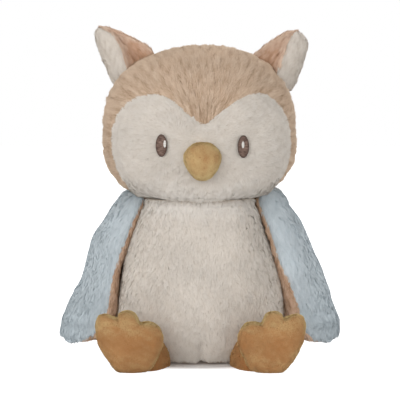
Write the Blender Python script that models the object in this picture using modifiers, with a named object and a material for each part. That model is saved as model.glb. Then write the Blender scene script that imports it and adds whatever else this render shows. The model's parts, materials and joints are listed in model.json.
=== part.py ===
"""A sitting plush owl: sewn panels of plush fabric over stuffing, with a pellet pouch in its seat.

Metres, +Z up. The owl looks along -Y, and its own left side is at +X. It is built round the
trunk's upright axis, and at the end the whole toy is moved along Y so that the middle of its
box stands over the origin.
"""

import math

import bmesh
import bpy
from mathutils import Matrix, Vector
from mathutils.bvhtree import BVHTree

# Shared by every sewn piece
PLUSH = 0.003  # long plush with its backing
VELOUR = 0.0022  # short pile of the beak, the legs and the feet
CLEARANCE = 0.0003  # open line of a seam, and the space between two pieces
FLOOR_FLAT = 0.0005  # how deep the floor flattens what stands on it
OVERRUN = 0.020  # how far a cutter passes what it cuts

# Trunk: a pear that is widest low down
TRUNK_WIDTH = 0.132
TRUNK_FRONT = 0.058
TRUNK_BACK = 0.050
NECK_HEIGHT = 0.1215
SIDE_SEAM_FORWARD = 0.016
BASE_SEAM_HEIGHT = 0.006
POUCH_HEIGHT = 0.030
POUCH_RADIUS = 0.048

# Head: a wide ball, cut flat at the neck
HEAD_WIDTH = 0.1505
HEAD_FRONT = 0.060
HEAD_BACK = 0.056
HEAD_MIDDLE_OVER_NECK = 0.0505
HEAD_TOP_OVER_NECK = 0.116
HEAD_BELOW_NECK = 0.0045
HEAD_MIDDLE_HEIGHT = NECK_HEIGHT + HEAD_MIDDLE_OVER_NECK
HEAD_TOP_HEIGHT = NECK_HEIGHT + HEAD_TOP_OVER_NECK
HEAD_BOTTOM_HEIGHT = NECK_HEIGHT - HEAD_BELOW_NECK
HEAD_SEAM_BACK = 0.004

# Face: the mask's outline is given by its own half width and by heights over the neck
MASK_HALF_WIDTH = 0.0650
MASK_LOBE_HEIGHT = 0.0775
MASK_PEAK_HEIGHT = 0.0570
MASK_SIDE_HEIGHT = 0.0400
EYE_WIDTH = 0.0082
EYE_HEIGHT = 0.0165
EYE_SPACING = 0.0600
EYE_OVER_NECK = 0.0405
EYE_THREAD = 0.0009
GLINT_WIDTH = 0.0024
GLINT_HEIGHT = 0.0055
GLINT_RISE = 0.0032

# Beak
BEAK_WIDTH = 0.0270
BEAK_HEIGHT = 0.0280
BEAK_DEPTH = 0.0150
BEAK_OVER_NECK = 0.0300

# Ears
EAR_WIDTH = 0.0400
EAR_LENGTH = 0.0340
EAR_ROOT = 0.0120
EAR_THICKNESS = 0.0230
EAR_ROUND_HEAD = math.radians(45)
EAR_LEAN = math.radians(40)
EAR_SEAM_TURN = math.radians(15)
EAR_FOLD = math.radians(20)

# Wings
WING_LENGTH = 0.1060
WING_ROOT_ROUND = 0.0095
WING_DEPTH = 0.0640
WING_THICKNESS = 0.0270
WING_WRAP = 0.0040
WING_BACK = 0.0070
WING_SPLAY = math.radians(24)
WING_TURN = math.radians(27)
WING_SEAM_OUT = 0.0020
WING_HINGE_BELOW_NECK = 0.0130
WING_HINGE_HEIGHT = NECK_HEIGHT - WING_HINGE_BELOW_NECK
WING_ROOT_OUT = 0.0100
WING_ROOM = 0.0006
WING_LIFT = math.radians(45)
WING_BLADE_STEPS = 14

# Legs and feet
LEG_SPACING = 0.0760
LEG_THICKNESS = 0.0300
LEG_LENGTH = 0.0240
FOOT_SPACING = 0.0995
FOOT_WIDTH = 0.0490
FOOT_HEIGHT = 0.0465
FOOT_THICKNESS = 0.0240
FOOT_FORWARD = 0.0165
FOOT_ROLL = math.radians(11)
LEG_SWING = math.radians(60)
LEG_SWING_STEPS = 4

# Outlines as shares of the sizes above, from the top down: height, half width, depth
TRUNK_SHARES = (
    (1.075, 0.40, 0.42),
    (1.00, 0.615, 0.63),
    (0.84, 0.75, 0.78),
    (0.66, 0.875, 0.90),
    (0.45, 0.97, 0.985),
    (0.24, 1.00, 1.00),
    (0.09, 0.955, 0.95),
    (0.014, 0.82, 0.82),
    (-0.004, 0.55, 0.55),
)
TRUNK_TOP_SHARE = 1.10
WING_LINING_SHARE = 0.55  # how far the lining swells, against the outer side
WING_SHARES = (
    (0.050, 0.55, 0.42),
    (-0.03, 0.86, 0.64),
    (-0.25, 0.98, 0.88),
    (-0.52, 0.97, 1.00),
    (-0.80, 0.92, 0.98),
    (-0.95, 0.68, 0.70),
)
EAR_TIP_SKEW_SHARE = 0.65  # how much longer the ear's outer side is, against its distance out
EAR_SHARES = (
    (0.95, 0.44, 0.56),
    (0.55, 0.74, 0.84),
    (0.05, 1.00, 1.00),
)
BEAK_SHARES = (
    (0.33, 0.50, 0.62),
    (0.02, 1.00, 1.00),
    (-0.33, 0.62, 0.74),
)
LEG_SHARES = (
    (0.40, 0.66, 0.66),
    (0.00, 1.00, 1.00),
    (-0.60, 0.95, 0.95),
)
FOOT_LAYER_SHARES = ((-0.36, 0.74), (0.0, 1.0), (0.36, 0.74))
FOOT_OUTLINE_SHARES = (
    (1.00, 0.17),
    (0.98, 0.62),
    (0.72, 0.96),
    (0.36, 0.56),
    (0.22, 0.94),
    (0.00, 1.04),
    (-0.22, 0.94),
    (-0.36, 0.56),
    (-0.72, 0.96),
    (-0.98, 0.62),
    (-1.00, 0.17),
    (-0.89, -0.34),
    (-0.66, -0.76),
    (-0.34, -0.96),
    (0.00, -1.00),
    (0.34, -0.96),
    (0.66, -0.76),
    (0.89, -0.34),
)
# The mask's seam from the peak outwards: share of the half width, and of the rise over the side
MASK_SHARES = (
    (0.12, 0.55),
    (0.21, 0.68),
    (0.32, 0.85),
    (0.45, 0.96),
    (0.58, 1.00),
    (0.715, 0.95),
    (0.83, 0.80),
    (0.915, 0.60),
    (0.97, 0.38),
    (1.00, 0.10),
)
# Below the side the seam draws in: share of the half width, and of the side's height
MASK_LOWER_SHARES = ((1.00, 0.82), (0.945, 0.54), (0.87, 0.30))
HEAD_TOP_POWER_SHARE = 2.3
HEAD_BOTTOM_POWER_SHARE = 2.8
HEAD_ROUND_SHARE = 2.15
TRUNK_ROUND_SHARE = 2.25

# Points on each cage
BODY_COLUMNS = 12
LIMB_COLUMNS = 8
HEAD_RINGS = 7
EYE_SIDES = 16
SEATING_STEPS = 8

TAN = (190, 163, 140)
CREAM = (209, 202, 193)
BLUE = (170, 183, 191)
MUSTARD = (186, 148, 96)
THREAD_BROWN = (104, 86, 78)
THREAD_WHITE = (232, 230, 226)
FIBRE = (240, 240, 236)
POUCH_CLOTH = (214, 208, 198)

PARTS = bpy.data.collections.new("plush_owl")


def clear_scene():
    for obj in list(bpy.data.objects):
        bpy.data.objects.remove(obj)
    bpy.context.scene.collection.children.link(PARTS)


def fabric(name, colour, roughness=0.95):
    """A plain cloth material; the colour is given as a screen colour from 0 to 255."""
    material = bpy.data.materials.new(name)
    material.use_nodes = True
    shader = material.node_tree.nodes["Principled BSDF"]
    linear = [(value / 255) ** 2.2 for value in colour]
    shader.inputs["Base Color"].default_value = (*linear, 1)
    shader.inputs["Roughness"].default_value = roughness
    material.diffuse_color = (*linear, 1)
    return material


def add_object(name, mesh):
    obj = bpy.data.objects.new(name, mesh)
    PARTS.objects.link(obj)
    return obj


def object_from(name, bm):
    mesh = bpy.data.meshes.new(name)
    bmesh.ops.recalc_face_normals(bm, faces=bm.faces)
    bm.to_mesh(mesh)
    bm.free()
    return add_object(name, mesh)


def copy_of(obj, name):
    return add_object(name, obj.data.copy())


def discard(*objects):
    for obj in objects:
        bpy.data.objects.remove(obj)


def settle(obj):
    """Keeps the shape that the modifiers give as the object's own mesh."""
    graph = bpy.context.evaluated_depsgraph_get()
    mesh = bpy.data.meshes.new_from_object(obj.evaluated_get(graph))
    obj.modifiers.clear()
    obj.data = mesh
    return obj


def corners(obj):
    """The lowest and highest corner of the object's own mesh."""
    points = [vert.co for vert in obj.data.vertices]
    low = Vector([min(point[axis] for point in points) for axis in range(3)])
    high = Vector([max(point[axis] for point in points) for axis in range(3)])
    return low, high


def signed_power(value, power):
    return math.copysign(abs(value) ** power, value)


def steps(first, last, count):
    return [first + (last - first) * step / count for step in range(count + 1)]


def smooth_to_size(cage):
    """Subdivides the cage once, then stretches the result to fill the box of the cage."""
    low, high = corners(cage)
    subdivision = cage.modifiers.new("smooth", "SUBSURF")
    subdivision.levels = subdivision.render_levels = 1
    settle(cage)
    smooth_low, smooth_high = corners(cage)
    for vert in cage.data.vertices:
        for axis in range(3):
            stretch = (high[axis] - low[axis]) / (smooth_high[axis] - smooth_low[axis])
            vert.co[axis] = low[axis] + (vert.co[axis] - smooth_low[axis]) * stretch
    return cage


def ring_form(name, columns, rings, top, bottom, roundness=2):
    """A soft form through rings listed from the top down.

    A ring is (height, half width, front, back): across X it reaches the half width, and along Y
    the front or the back. A roundness over 2 squares the rings.
    """
    bm = bmesh.new()
    rows = len(rings) + 1
    bmesh.ops.create_uvsphere(bm, u_segments=columns, v_segments=rows, radius=1)
    for vert in bm.verts:
        row = round(math.acos(max(-1, min(1, vert.co.z))) / math.pi * rows)
        if row in (0, rows):
            vert.co = Vector((0, 0, bottom if row else top))
            continue
        height, half_width, front, back = rings[row - 1]
        angle = math.atan2(vert.co.y, vert.co.x)
        across = signed_power(math.cos(angle), 2 / roundness)
        along = signed_power(math.sin(angle), 2 / roundness)
        vert.co = Vector((across * half_width, along * (back if along > 0 else front), height))
    return smooth_to_size(object_from(name, bm))


def box_between(name, low, high):
    bm = bmesh.new()
    bmesh.ops.create_cube(bm, size=1)
    for vert in bm.verts:
        for axis in range(3):
            vert.co[axis] = high[axis] if vert.co[axis] > 0 else low[axis]
    return object_from(name, bm)


def combine(obj, cutter, operation="DIFFERENCE", solver="EXACT"):
    boolean = obj.modifiers.new("cut", "BOOLEAN")
    boolean.object = cutter
    boolean.operation = operation
    boolean.solver = solver
    return settle(obj)


def push_out(obj, distance):
    """Moves every point along its normal, inwards where the distance is negative."""
    displace = obj.modifiers.new("push", "DISPLACE")
    displace.direction = "NORMAL"
    displace.mid_level = 0
    displace.strength = distance
    return settle(obj)


def grown(form, distance=CLEARANCE):
    return push_out(copy_of(form, form.name + "_grown"), distance)


def skin_of(form, name, thickness, outside=None):
    """The fabric: a wall of the given thickness inside the form, or inside what is left of it."""
    core = push_out(copy_of(form, "core"), -thickness)
    skin = combine(copy_of(outside or form, name), core)
    discard(core)
    return skin


def filling_of(form, name, thickness):
    """What the skin holds: the form, smaller by the skin and a clearance."""
    return push_out(copy_of(form, name), -(thickness + CLEARANCE))


def cut_above(obj, height):
    low, high = corners(obj)
    far = Vector((OVERRUN, OVERRUN, OVERRUN))
    cutter = box_between("above", (*(low - far).xy, height), high + far)
    combine(obj, cutter)
    discard(cutter)


def cut_below(obj, height):
    low, high = corners(obj)
    far = Vector((OVERRUN, OVERRUN, OVERRUN))
    cutter = box_between("below", low - far, (*(high + far).xy, height))
    combine(obj, cutter)
    discard(cutter)


def take_away(cutter, *pieces):
    for piece in pieces:
        combine(piece, cutter)


def turned_about(centre, axis, angle):
    turn = Matrix.Translation(centre) @ Matrix.Rotation(angle, 4, axis)
    return turn @ Matrix.Translation(-centre)


def hinge_beside(larger, limb, start, outwards, axis, angles):
    """A hinge for a limb whose mesh is measured from it: the nearest place along the outward
    line at which the limb keeps its clearance from the larger form at each of the angles."""
    graph = bpy.context.evaluated_depsgraph_get()
    surface = BVHTree.FromObject(larger, graph)
    away = outwards.normalized()
    distance = 0
    for _ in range(SEATING_STEPS):
        hinge = start + away * distance
        room = math.inf
        for angle in angles:
            turn = Matrix.Translation(hinge) @ Matrix.Rotation(angle, 4, axis)
            for vert in limb.data.vertices:
                point = turn @ vert.co
                near, normal, _, gap = surface.find_nearest(point)
                outside = (point - near).dot(normal) > 0
                room = min(room, gap if outside else -gap)
        distance += CLEARANCE - room
    return start + away * distance


def islands(bm):
    """The separate bodies of a mesh, as lists of faces."""
    waiting = set(bm.faces)
    found = []
    while waiting:
        body = []
        edge_of_search = [waiting.pop()]
        while edge_of_search:
            face = edge_of_search.pop()
            body.append(face)
            near = {other for edge in face.edges for other in edge.link_faces} & waiting
            waiting -= near
            edge_of_search.extend(near)
        found.append(body)
    return found


def keep_body(obj, marker):
    """Keeps only the body of the mesh that has a point nearest to the marker."""
    bm = bmesh.new()
    bm.from_mesh(obj.data)
    bodies = islands(bm)
    nearest = min(
        bodies,
        key=lambda body: min((vert.co - marker).length for face in body for vert in face.verts),
    )
    others = [face for body in bodies if body is not nearest for face in body]
    bmesh.ops.delete(bm, geom=others, context="FACES")
    bm.to_mesh(obj.data)
    bm.free()
    return obj


def sewn_panels(skin, blades, markers):
    """Cuts the skin along the blades, and names each panel by a marker point on it."""
    for blade in blades:
        combine(skin, blade)
    panels = [keep_body(copy_of(skin, name), marker) for name, marker in markers.items()]
    discard(skin, *blades)
    return panels


def surface_point(form, start, direction):
    """Where a line from inside the form comes out of it."""
    graph = bpy.context.evaluated_depsgraph_get()
    return BVHTree.FromObject(form, graph).ray_cast(start, direction)[0]


def trunk_form():
    rings = [
        (
            height * NECK_HEIGHT,
            width * TRUNK_WIDTH / 2,
            depth * TRUNK_FRONT,
            depth * TRUNK_BACK,
        )
        for height, width, depth in TRUNK_SHARES
    ]
    top = TRUNK_TOP_SHARE * NECK_HEIGHT
    return ring_form("trunk_form", BODY_COLUMNS, rings, top, -FLOOR_FLAT, TRUNK_ROUND_SHARE)


def head_form():
    """A ball that is squarer below its middle than above it."""
    rings = []
    for ring in range(1, HEAD_RINGS + 1):
        angle = math.pi * ring / (HEAD_RINGS + 1)
        upper = math.cos(angle) >= 0
        power = HEAD_TOP_POWER_SHARE if upper else HEAD_BOTTOM_POWER_SHARE
        reach = (HEAD_TOP_HEIGHT if upper else HEAD_BOTTOM_HEIGHT) - HEAD_MIDDLE_HEIGHT
        height = HEAD_MIDDLE_HEIGHT + reach * abs(math.cos(angle)) ** (2 / power)
        share = math.sin(angle) ** (2 / power)
        rings.append((height, share * HEAD_WIDTH / 2, share * HEAD_FRONT, share * HEAD_BACK))
    return ring_form(
        "head_form",
        BODY_COLUMNS,
        rings,
        HEAD_TOP_HEIGHT,
        HEAD_BOTTOM_HEIGHT,
        HEAD_ROUND_SHARE,
    )


def build_trunk(form):
    """Belly, back and base panels, the stuffing, and the pellet pouch under it."""
    low, high = corners(form)
    far = Vector((OVERRUN, OVERRUN, OVERRUN))
    skin = skin_of(form, "trunk_skin", PLUSH)
    stuffing = filling_of(form, "body_stuffing", PLUSH)
    for piece in (skin, stuffing):
        cut_above(piece, NECK_HEIGHT - CLEARANCE / 2)
    cut_below(skin, 0)

    base_line = box_between(
        "base_line",
        (*(low - far).xy, BASE_SEAM_HEIGHT - CLEARANCE / 2),
        (*(high + far).xy, BASE_SEAM_HEIGHT + CLEARANCE / 2),
    )
    side_line = box_between(
        "side_line",
        (low.x - OVERRUN, -SIDE_SEAM_FORWARD - CLEARANCE / 2, BASE_SEAM_HEIGHT),
        (high.x + OVERRUN, -SIDE_SEAM_FORWARD + CLEARANCE / 2, high.z + OVERRUN),
    )
    middle = NECK_HEIGHT / 2
    panels = sewn_panels(
        skin,
        [base_line, side_line],
        {
            "belly_panel": Vector((0, low.y, middle)),
            "back_panel": Vector((0, high.y, middle)),
            "base_panel": Vector((0, 0, 0)),
        },
    )

    pouch_bm = bmesh.new()
    bmesh.ops.create_uvsphere(pouch_bm, u_segments=BODY_COLUMNS, v_segments=8, radius=1)
    pouch_shape = object_from("pouch_shape", pouch_bm)
    size = Matrix.Diagonal((POUCH_RADIUS, POUCH_RADIUS, POUCH_HEIGHT, 1))
    pouch_shape.data.transform(size)
    pouch = combine(copy_of(stuffing, "pellet_pouch"), pouch_shape, "INTERSECT")
    room = grown(pouch_shape)
    take_away(room, stuffing)
    discard(pouch_shape, room)
    return [*panels, stuffing, pouch]


def mask_outline():
    """The seam round the face, seen from the front: up one side, over the lobe, to the peak."""
    lower = [
        Vector((out * MASK_HALF_WIDTH, 0, NECK_HEIGHT + up * MASK_SIDE_HEIGHT))
        for out, up in reversed(MASK_LOWER_SHARES)
    ]
    rise = MASK_LOBE_HEIGHT - MASK_SIDE_HEIGHT
    lobe = [
        Vector((out * MASK_HALF_WIDTH, 0, NECK_HEIGHT + MASK_SIDE_HEIGHT + up * rise))
        for out, up in reversed(MASK_SHARES)
    ]
    start = Vector((lower[0].x, 0, NECK_HEIGHT - OVERRUN))
    peak = Vector((0, 0, NECK_HEIGHT + MASK_PEAK_HEIGHT))
    half = [start, *lower, *lobe, peak]
    return half + [Vector((-point.x, 0, point.z)) for point in reversed(half[:-1])]


def ribbon(name, outline, front, back):
    """A thin upright wall along an outline in the XZ plane, from the front to the back."""
    bm = bmesh.new()
    near = [bm.verts.new((point.x, front, point.z)) for point in outline]
    edges = [bm.edges.new(pair) for pair in zip(near, near[1:])]
    swept = bmesh.ops.extrude_edge_only(bm, edges=edges)["geom"]
    moved = [item for item in swept if isinstance(item, bmesh.types.BMVert)]
    bmesh.ops.translate(bm, verts=moved, vec=(0, back - front, 0))
    mesh = bpy.data.meshes.new(name)
    bm.to_mesh(mesh)
    bm.free()
    wall = add_object(name, mesh)
    thick = wall.modifiers.new("wall", "SOLIDIFY")
    thick.thickness = CLEARANCE
    thick.offset = 0
    thick.use_even_offset = True
    return settle(wall)


def build_head(form):
    """Face, crown and back panels over the head's stuffing."""
    low, high = corners(form)
    skin = skin_of(form, "head_skin", PLUSH)
    stuffing = filling_of(form, "head_stuffing", PLUSH)
    for piece in (skin, stuffing):
        cut_below(piece, NECK_HEIGHT + CLEARANCE / 2)
    side_line = box_between(
        "side_line",
        (low.x - OVERRUN, HEAD_SEAM_BACK - CLEARANCE / 2, low.z - OVERRUN),
        (high.x + OVERRUN, HEAD_SEAM_BACK + CLEARANCE / 2, high.z + OVERRUN),
    )
    mask_line = ribbon("mask_line", mask_outline(), low.y - OVERRUN, HEAD_SEAM_BACK)
    panels = sewn_panels(
        skin,
        [side_line, mask_line],
        {
            "face_panel": Vector((0, low.y, HEAD_MIDDLE_HEIGHT - PLUSH)),
            "crown_panel": Vector((0, 0, high.z)),
            "head_back_panel": Vector((0, high.y, HEAD_MIDDLE_HEIGHT)),
        },
    )
    return [*panels, stuffing]


def oval_prism(name, width, height, centre, depth):
    """An upright oval seen from the front, carried back along Y."""
    bm = bmesh.new()
    bmesh.ops.create_cone(
        bm, cap_ends=True, segments=EYE_SIDES, radius1=1, radius2=1, depth=1
    )
    turn = Matrix.Rotation(math.radians(90), 4, "X")
    size = Matrix.Diagonal((width / 2, depth, height / 2, 1))
    bm.transform(Matrix.Translation(centre) @ size @ turn)
    return object_from(name, bm)


def thread_patch(name, form, width, height, centre, lift):
    """Satin stitching: an oval layer of thread that follows the form, lifted off it."""
    patch = grown(form, lift)
    patch.name = name
    layer = patch.modifiers.new("thread", "SOLIDIFY")
    layer.thickness = EYE_THREAD
    layer.offset = 1
    settle(patch)
    depth = corners(form)[1].y - corners(form)[0].y
    oval = oval_prism("oval", width, height, centre - Vector((0, depth / 2, 0)), depth)
    combine(patch, oval, "INTERSECT")
    discard(oval)
    return patch


def build_eye(form):
    """The left eye: an upright oval of brown thread with a small pale glint on it."""
    centre = Vector((EYE_SPACING / 2, 0, NECK_HEIGHT + EYE_OVER_NECK))
    eye = thread_patch("eye_left", form, EYE_WIDTH, EYE_HEIGHT, centre, CLEARANCE)
    glint_centre = centre + Vector((0, 0, GLINT_RISE))
    lift = EYE_THREAD + 2 * CLEARANCE
    glint = thread_patch(
        "eye_glint_left", form, GLINT_WIDTH, GLINT_HEIGHT, glint_centre, lift
    )
    return eye, glint


def build_beak(head):
    """A small stuffed diamond whose back follows the face."""
    height = NECK_HEIGHT + BEAK_OVER_NECK
    face = surface_point(head, Vector((0, 0, height)), Vector((0, -1, 0)))
    rings = [
        (up * BEAK_HEIGHT, width * BEAK_WIDTH / 2, depth * BEAK_DEPTH, depth * BEAK_DEPTH)
        for up, width, depth in BEAK_SHARES
    ]
    form = ring_form("beak_form", LIMB_COLUMNS, rings, BEAK_HEIGHT / 2, -BEAK_HEIGHT / 2)
    form.data.transform(Matrix.Translation(face))
    cover = skin_of(form, "beak_cover", VELOUR)
    stuffing = filling_of(form, "beak_stuffing", VELOUR)
    room = grown(head)
    take_away(room, cover, stuffing)
    front = Vector((0, corners(form)[0].y, height))
    for piece in (cover, stuffing):
        keep_body(piece, front)
    discard(form, room)
    return cover, stuffing


def build_ear(head):
    """The left ear: a tan panel on the inner and back side, a cream one outwards."""
    outwards = Vector((math.sin(EAR_ROUND_HEAD), 0, math.cos(EAR_ROUND_HEAD)))
    middle = Vector((0, HEAD_SEAM_BACK, HEAD_MIDDLE_HEIGHT))
    base = surface_point(head, middle, outwards)
    rings = [
        (
            up * EAR_LENGTH,
            width * EAR_WIDTH / 2,
            depth * EAR_THICKNESS / 2,
            depth * EAR_THICKNESS / 2,
        )
        for up, width, depth in EAR_SHARES
    ]
    form = ring_form("ear_form", LIMB_COLUMNS, rings, EAR_LENGTH, -EAR_ROOT)
    for vert in form.data.vertices:
        up = max(0, vert.co.z / EAR_LENGTH)
        vert.co.z += EAR_TIP_SKEW_SHARE * vert.co.x * up**2
    place = Matrix.Translation(base) @ Matrix.Rotation(EAR_LEAN, 4, "Y")
    far = EAR_WIDTH + OVERRUN
    blade = box_between("blade", (-CLEARANCE / 2, -far, -far), (CLEARANCE / 2, far, far))
    blade.data.transform(place @ Matrix.Rotation(-EAR_SEAM_TURN, 4, "Z"))
    form.data.transform(place)
    filling = filling_of(form, "ear_filling_left", PLUSH)
    outside = copy_of(form, "ear_outside")
    axis = place.to_3x3() @ Vector((1, 0, 0))
    for angle in (-EAR_FOLD, EAR_FOLD):
        room = grown(head)
        room.data.transform(turned_about(base, axis, angle))
        take_away(room, outside, filling)
        discard(room)
    skin = skin_of(form, "ear_skin", PLUSH, outside)
    inwards = place @ Vector((-EAR_WIDTH / 2, 0, EAR_LENGTH / 2))
    sideways = place @ Vector((EAR_WIDTH / 2, 0, EAR_LENGTH / 2))
    panels = sewn_panels(
        skin, [blade], {"ear_inner_left": inwards, "ear_outer_left": sideways}
    )
    keep_body(filling, place @ Vector((0, 0, EAR_LENGTH)))
    discard(form, outside)
    return base, axis, [*panels, filling]


def wing_wrap_at(across):
    """How far the wing is drawn in towards the trunk, at a distance from its middle line."""
    return WING_WRAP * (across / (WING_DEPTH / 2)) ** 2


def wing_seam_blade():
    """A curved wall along the wing, which parts its outer panel from its lining."""
    far = WING_DEPTH / 2 + OVERRUN
    outline = [
        Vector((WING_SEAM_OUT - wing_wrap_at(across), 0, across))
        for across in steps(-far, far, WING_BLADE_STEPS)
    ]
    blade = ribbon("blade", outline, -WING_LENGTH - OVERRUN, WING_LENGTH + OVERRUN)
    blade.data.transform(Matrix.Rotation(math.radians(90), 4, "X"))
    return blade


def build_wing(trunk, head):
    """The left wing: a blue outer panel and a tan lining, lightly filled, sewn on the shoulder."""
    rings = [
        (
            along * WING_LENGTH,
            thick * WING_THICKNESS / 2,
            depth * WING_DEPTH / 2,
            depth * WING_DEPTH / 2,
        )
        for along, thick, depth in WING_SHARES
    ]
    form = ring_form("wing_form", LIMB_COLUMNS, rings, WING_ROOT_ROUND, -WING_LENGTH)
    for vert in form.data.vertices:
        if vert.co.x < 0:
            vert.co.x *= WING_LINING_SHARE
    filling = filling_of(form, "wing_filling_left", PLUSH)
    core = push_out(copy_of(form, "core"), -PLUSH)

    axis = Vector((0, -1, 0))
    sideways = Vector((1, 0, 0))
    hinge = surface_point(trunk, Vector((0, WING_BACK, WING_HINGE_HEIGHT)), sideways)
    turn = Matrix.Rotation(-WING_SPLAY, 4, "Y") @ Matrix.Rotation(-WING_TURN, 4, "Z")
    place = Matrix.Translation(hinge + sideways * WING_ROOT_OUT) @ turn
    blade = wing_seam_blade()
    blade.data.transform(place)
    for piece in (form, core, filling):
        for vert in piece.data.vertices:
            vert.co.x -= wing_wrap_at(vert.co.y)
        piece.data.transform(place)
    for larger in (trunk, head):
        for angle in (0, -WING_LIFT):
            room = grown(larger, WING_ROOM)
            room.data.transform(turned_about(hinge, axis, angle))
            for piece in (form, filling):
                combine(piece, room, solver="MANIFOLD")
            discard(room)
    combine(form, core, solver="MANIFOLD")
    discard(core)
    half_way = -WING_LENGTH / 2
    panels = sewn_panels(
        form,
        [blade],
        {
            "wing_outer_left": place @ Vector((WING_THICKNESS, 0, half_way)),
            "wing_lining_left": place @ Vector((-WING_THICKNESS, 0, half_way)),
        },
    )
    keep_body(filling, place @ Vector((0, 0, half_way)))
    return hinge, axis, [*panels, filling]


def foot_form():
    """A thick upright pad with three toes on its upper edge, built with its poles along Y."""
    bm = bmesh.new()
    columns = len(FOOT_OUTLINE_SHARES)
    rows = len(FOOT_LAYER_SHARES) + 1
    bmesh.ops.create_uvsphere(bm, u_segments=columns, v_segments=rows, radius=1)
    for vert in bm.verts:
        row = round(math.acos(max(-1, min(1, vert.co.z))) / math.pi * rows)
        if row in (0, rows):
            vert.co = Vector((0, (FOOT_THICKNESS if row else -FOOT_THICKNESS) / 2, 0))
            continue
        depth, spread = FOOT_LAYER_SHARES[row - 1]
        column = round(math.atan2(vert.co.y, vert.co.x) / (2 * math.pi / columns))
        out, up = FOOT_OUTLINE_SHARES[column % columns]
        vert.co = Vector(
            (
                out * spread * FOOT_WIDTH / 2,
                depth * FOOT_THICKNESS,
                up * spread * FOOT_HEIGHT / 2,
            )
        )
    form = smooth_to_size(object_from("foot_form", bm))
    form.data.transform(Matrix.Rotation(-FOOT_ROLL, 4, "Y"))
    return form


def build_leg(trunk):
    """The left leg: a short stuffed tube from the trunk to the back of an upright foot."""
    rings = [
        (
            along * LEG_LENGTH,
            wide * LEG_THICKNESS / 2,
            deep * LEG_THICKNESS / 2,
            deep * LEG_THICKNESS / 2,
        )
        for along, wide, deep in LEG_SHARES
    ]
    leg = ring_form("leg_form", LIMB_COLUMNS, rings, LEG_THICKNESS / 2, -LEG_LENGTH)
    spread = (FOOT_SPACING - LEG_SPACING) / 2
    towards_hip = Vector((-spread, FOOT_FORWARD, 0)).normalized()
    leg.data.transform(towards_hip.to_track_quat("Z", "Y").to_matrix().to_4x4())

    axis = Vector((1, 0, 0))
    forwards = Vector((0, -1, 0))
    inside = Vector((LEG_SPACING / 2, 0, LEG_THICKNESS / 2 - FLOOR_FLAT))
    hip = surface_point(trunk, inside, forwards)
    swing = steps(0, LEG_SWING, LEG_SWING_STEPS)
    hinge = hinge_beside(trunk, leg, hip, forwards, axis, swing)
    leg.data.transform(Matrix.Translation(hinge))
    foot = foot_form()
    heel = corners(foot)[0].z
    foot_centre = Vector((FOOT_SPACING / 2, hinge.y - FOOT_FORWARD, -heel - FLOOR_FLAT))
    foot.data.transform(Matrix.Translation(foot_centre))

    leg_stuffing = filling_of(leg, "leg_stuffing_left", VELOUR)
    outside = copy_of(leg, "leg_outside")
    room = grown(foot)
    take_away(room, outside, leg_stuffing)
    for piece in (outside, leg_stuffing):
        keep_body(piece, hip)
    cover = skin_of(leg, "leg_cover_left", VELOUR, outside)
    keep_body(cover, hip)
    foot_skin = skin_of(foot, "foot_skin", VELOUR)
    foot_stuffing = filling_of(foot, "foot_stuffing_left", VELOUR)
    for piece in (cover, foot_skin):
        cut_below(piece, 0)
    far = Vector((OVERRUN, OVERRUN, OVERRUN))
    low, high = corners(foot)
    rim_line = box_between(
        "rim_line",
        ((low - far).x, foot_centre.y - CLEARANCE / 2, (low - far).z),
        ((high + far).x, foot_centre.y + CLEARANCE / 2, (high + far).z),
    )
    panels = sewn_panels(
        foot_skin,
        [rim_line],
        {
            "foot_sole_left": foot_centre - Vector((0, FOOT_THICKNESS, 0)),
            "foot_upper_left": foot_centre + Vector((0, FOOT_THICKNESS, 0)),
        },
    )
    discard(foot, leg, outside, room)
    return hinge, axis, [cover, leg_stuffing, *panels, foot_stuffing]


def right_copy(piece):
    """The same piece for the owl's other side."""
    bm = bmesh.new()
    bm.from_mesh(piece.data)
    for vert in bm.verts:
        vert.co.x = -vert.co.x
    bmesh.ops.reverse_faces(bm, faces=bm.faces)
    mesh = bpy.data.meshes.new(piece.name)
    bm.to_mesh(mesh)
    bm.free()
    return add_object(piece.name.replace("left", "right"), mesh)


def pivot(name, place, parent):
    """An empty on a joint, which carries the pieces that turn there."""
    empty = bpy.data.objects.new(name, None)
    PARTS.objects.link(empty)
    empty.empty_display_size = PLUSH
    empty.location = place - (parent["at"] if parent else Vector())
    empty.parent = parent["empty"] if parent else None
    return {"empty": empty, "at": place.copy()}


def hang(pieces, holder):
    """Parents the pieces to a pivot, with their meshes measured from it."""
    for piece in pieces:
        piece.data.transform(Matrix.Translation(-holder["at"]))
        piece.parent = holder["empty"]


def finish_surfaces():
    """Gives each piece its cloth, and shades its round faces smooth."""
    cloth = {
        "tan": fabric("tan_plush", TAN),
        "cream": fabric("cream_plush", CREAM),
        "blue": fabric("blue_plush", BLUE),
        "mustard": fabric("mustard_velour", MUSTARD, 0.9),
        "brown_thread": fabric("brown_thread", THREAD_BROWN, 0.55),
        "white_thread": fabric("white_thread", THREAD_WHITE, 0.5),
        "fibre": fabric("fibre", FIBRE, 1),
        "pouch": fabric("pouch_cloth", POUCH_CLOTH),
    }
    worn = (
        ("stuffing", "fibre"),
        ("filling", "fibre"),
        ("pouch", "pouch"),
        ("glint", "white_thread"),
        ("eye", "brown_thread"),
        ("beak", "mustard"),
        ("leg", "mustard"),
        ("foot", "mustard"),
        ("wing_outer", "blue"),
        ("face", "cream"),
        ("belly", "cream"),
        ("ear_outer", "cream"),
    )
    for piece in PARTS.objects:
        if piece.type != "MESH":
            continue
        name = next((cloth_name for word, cloth_name in worn if word in piece.name), "tan")
        piece.data.materials.clear()
        piece.data.materials.append(cloth[name])
        piece.data.shade_smooth()
        piece.data.set_sharp_from_angle(angle=math.radians(50))


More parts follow.
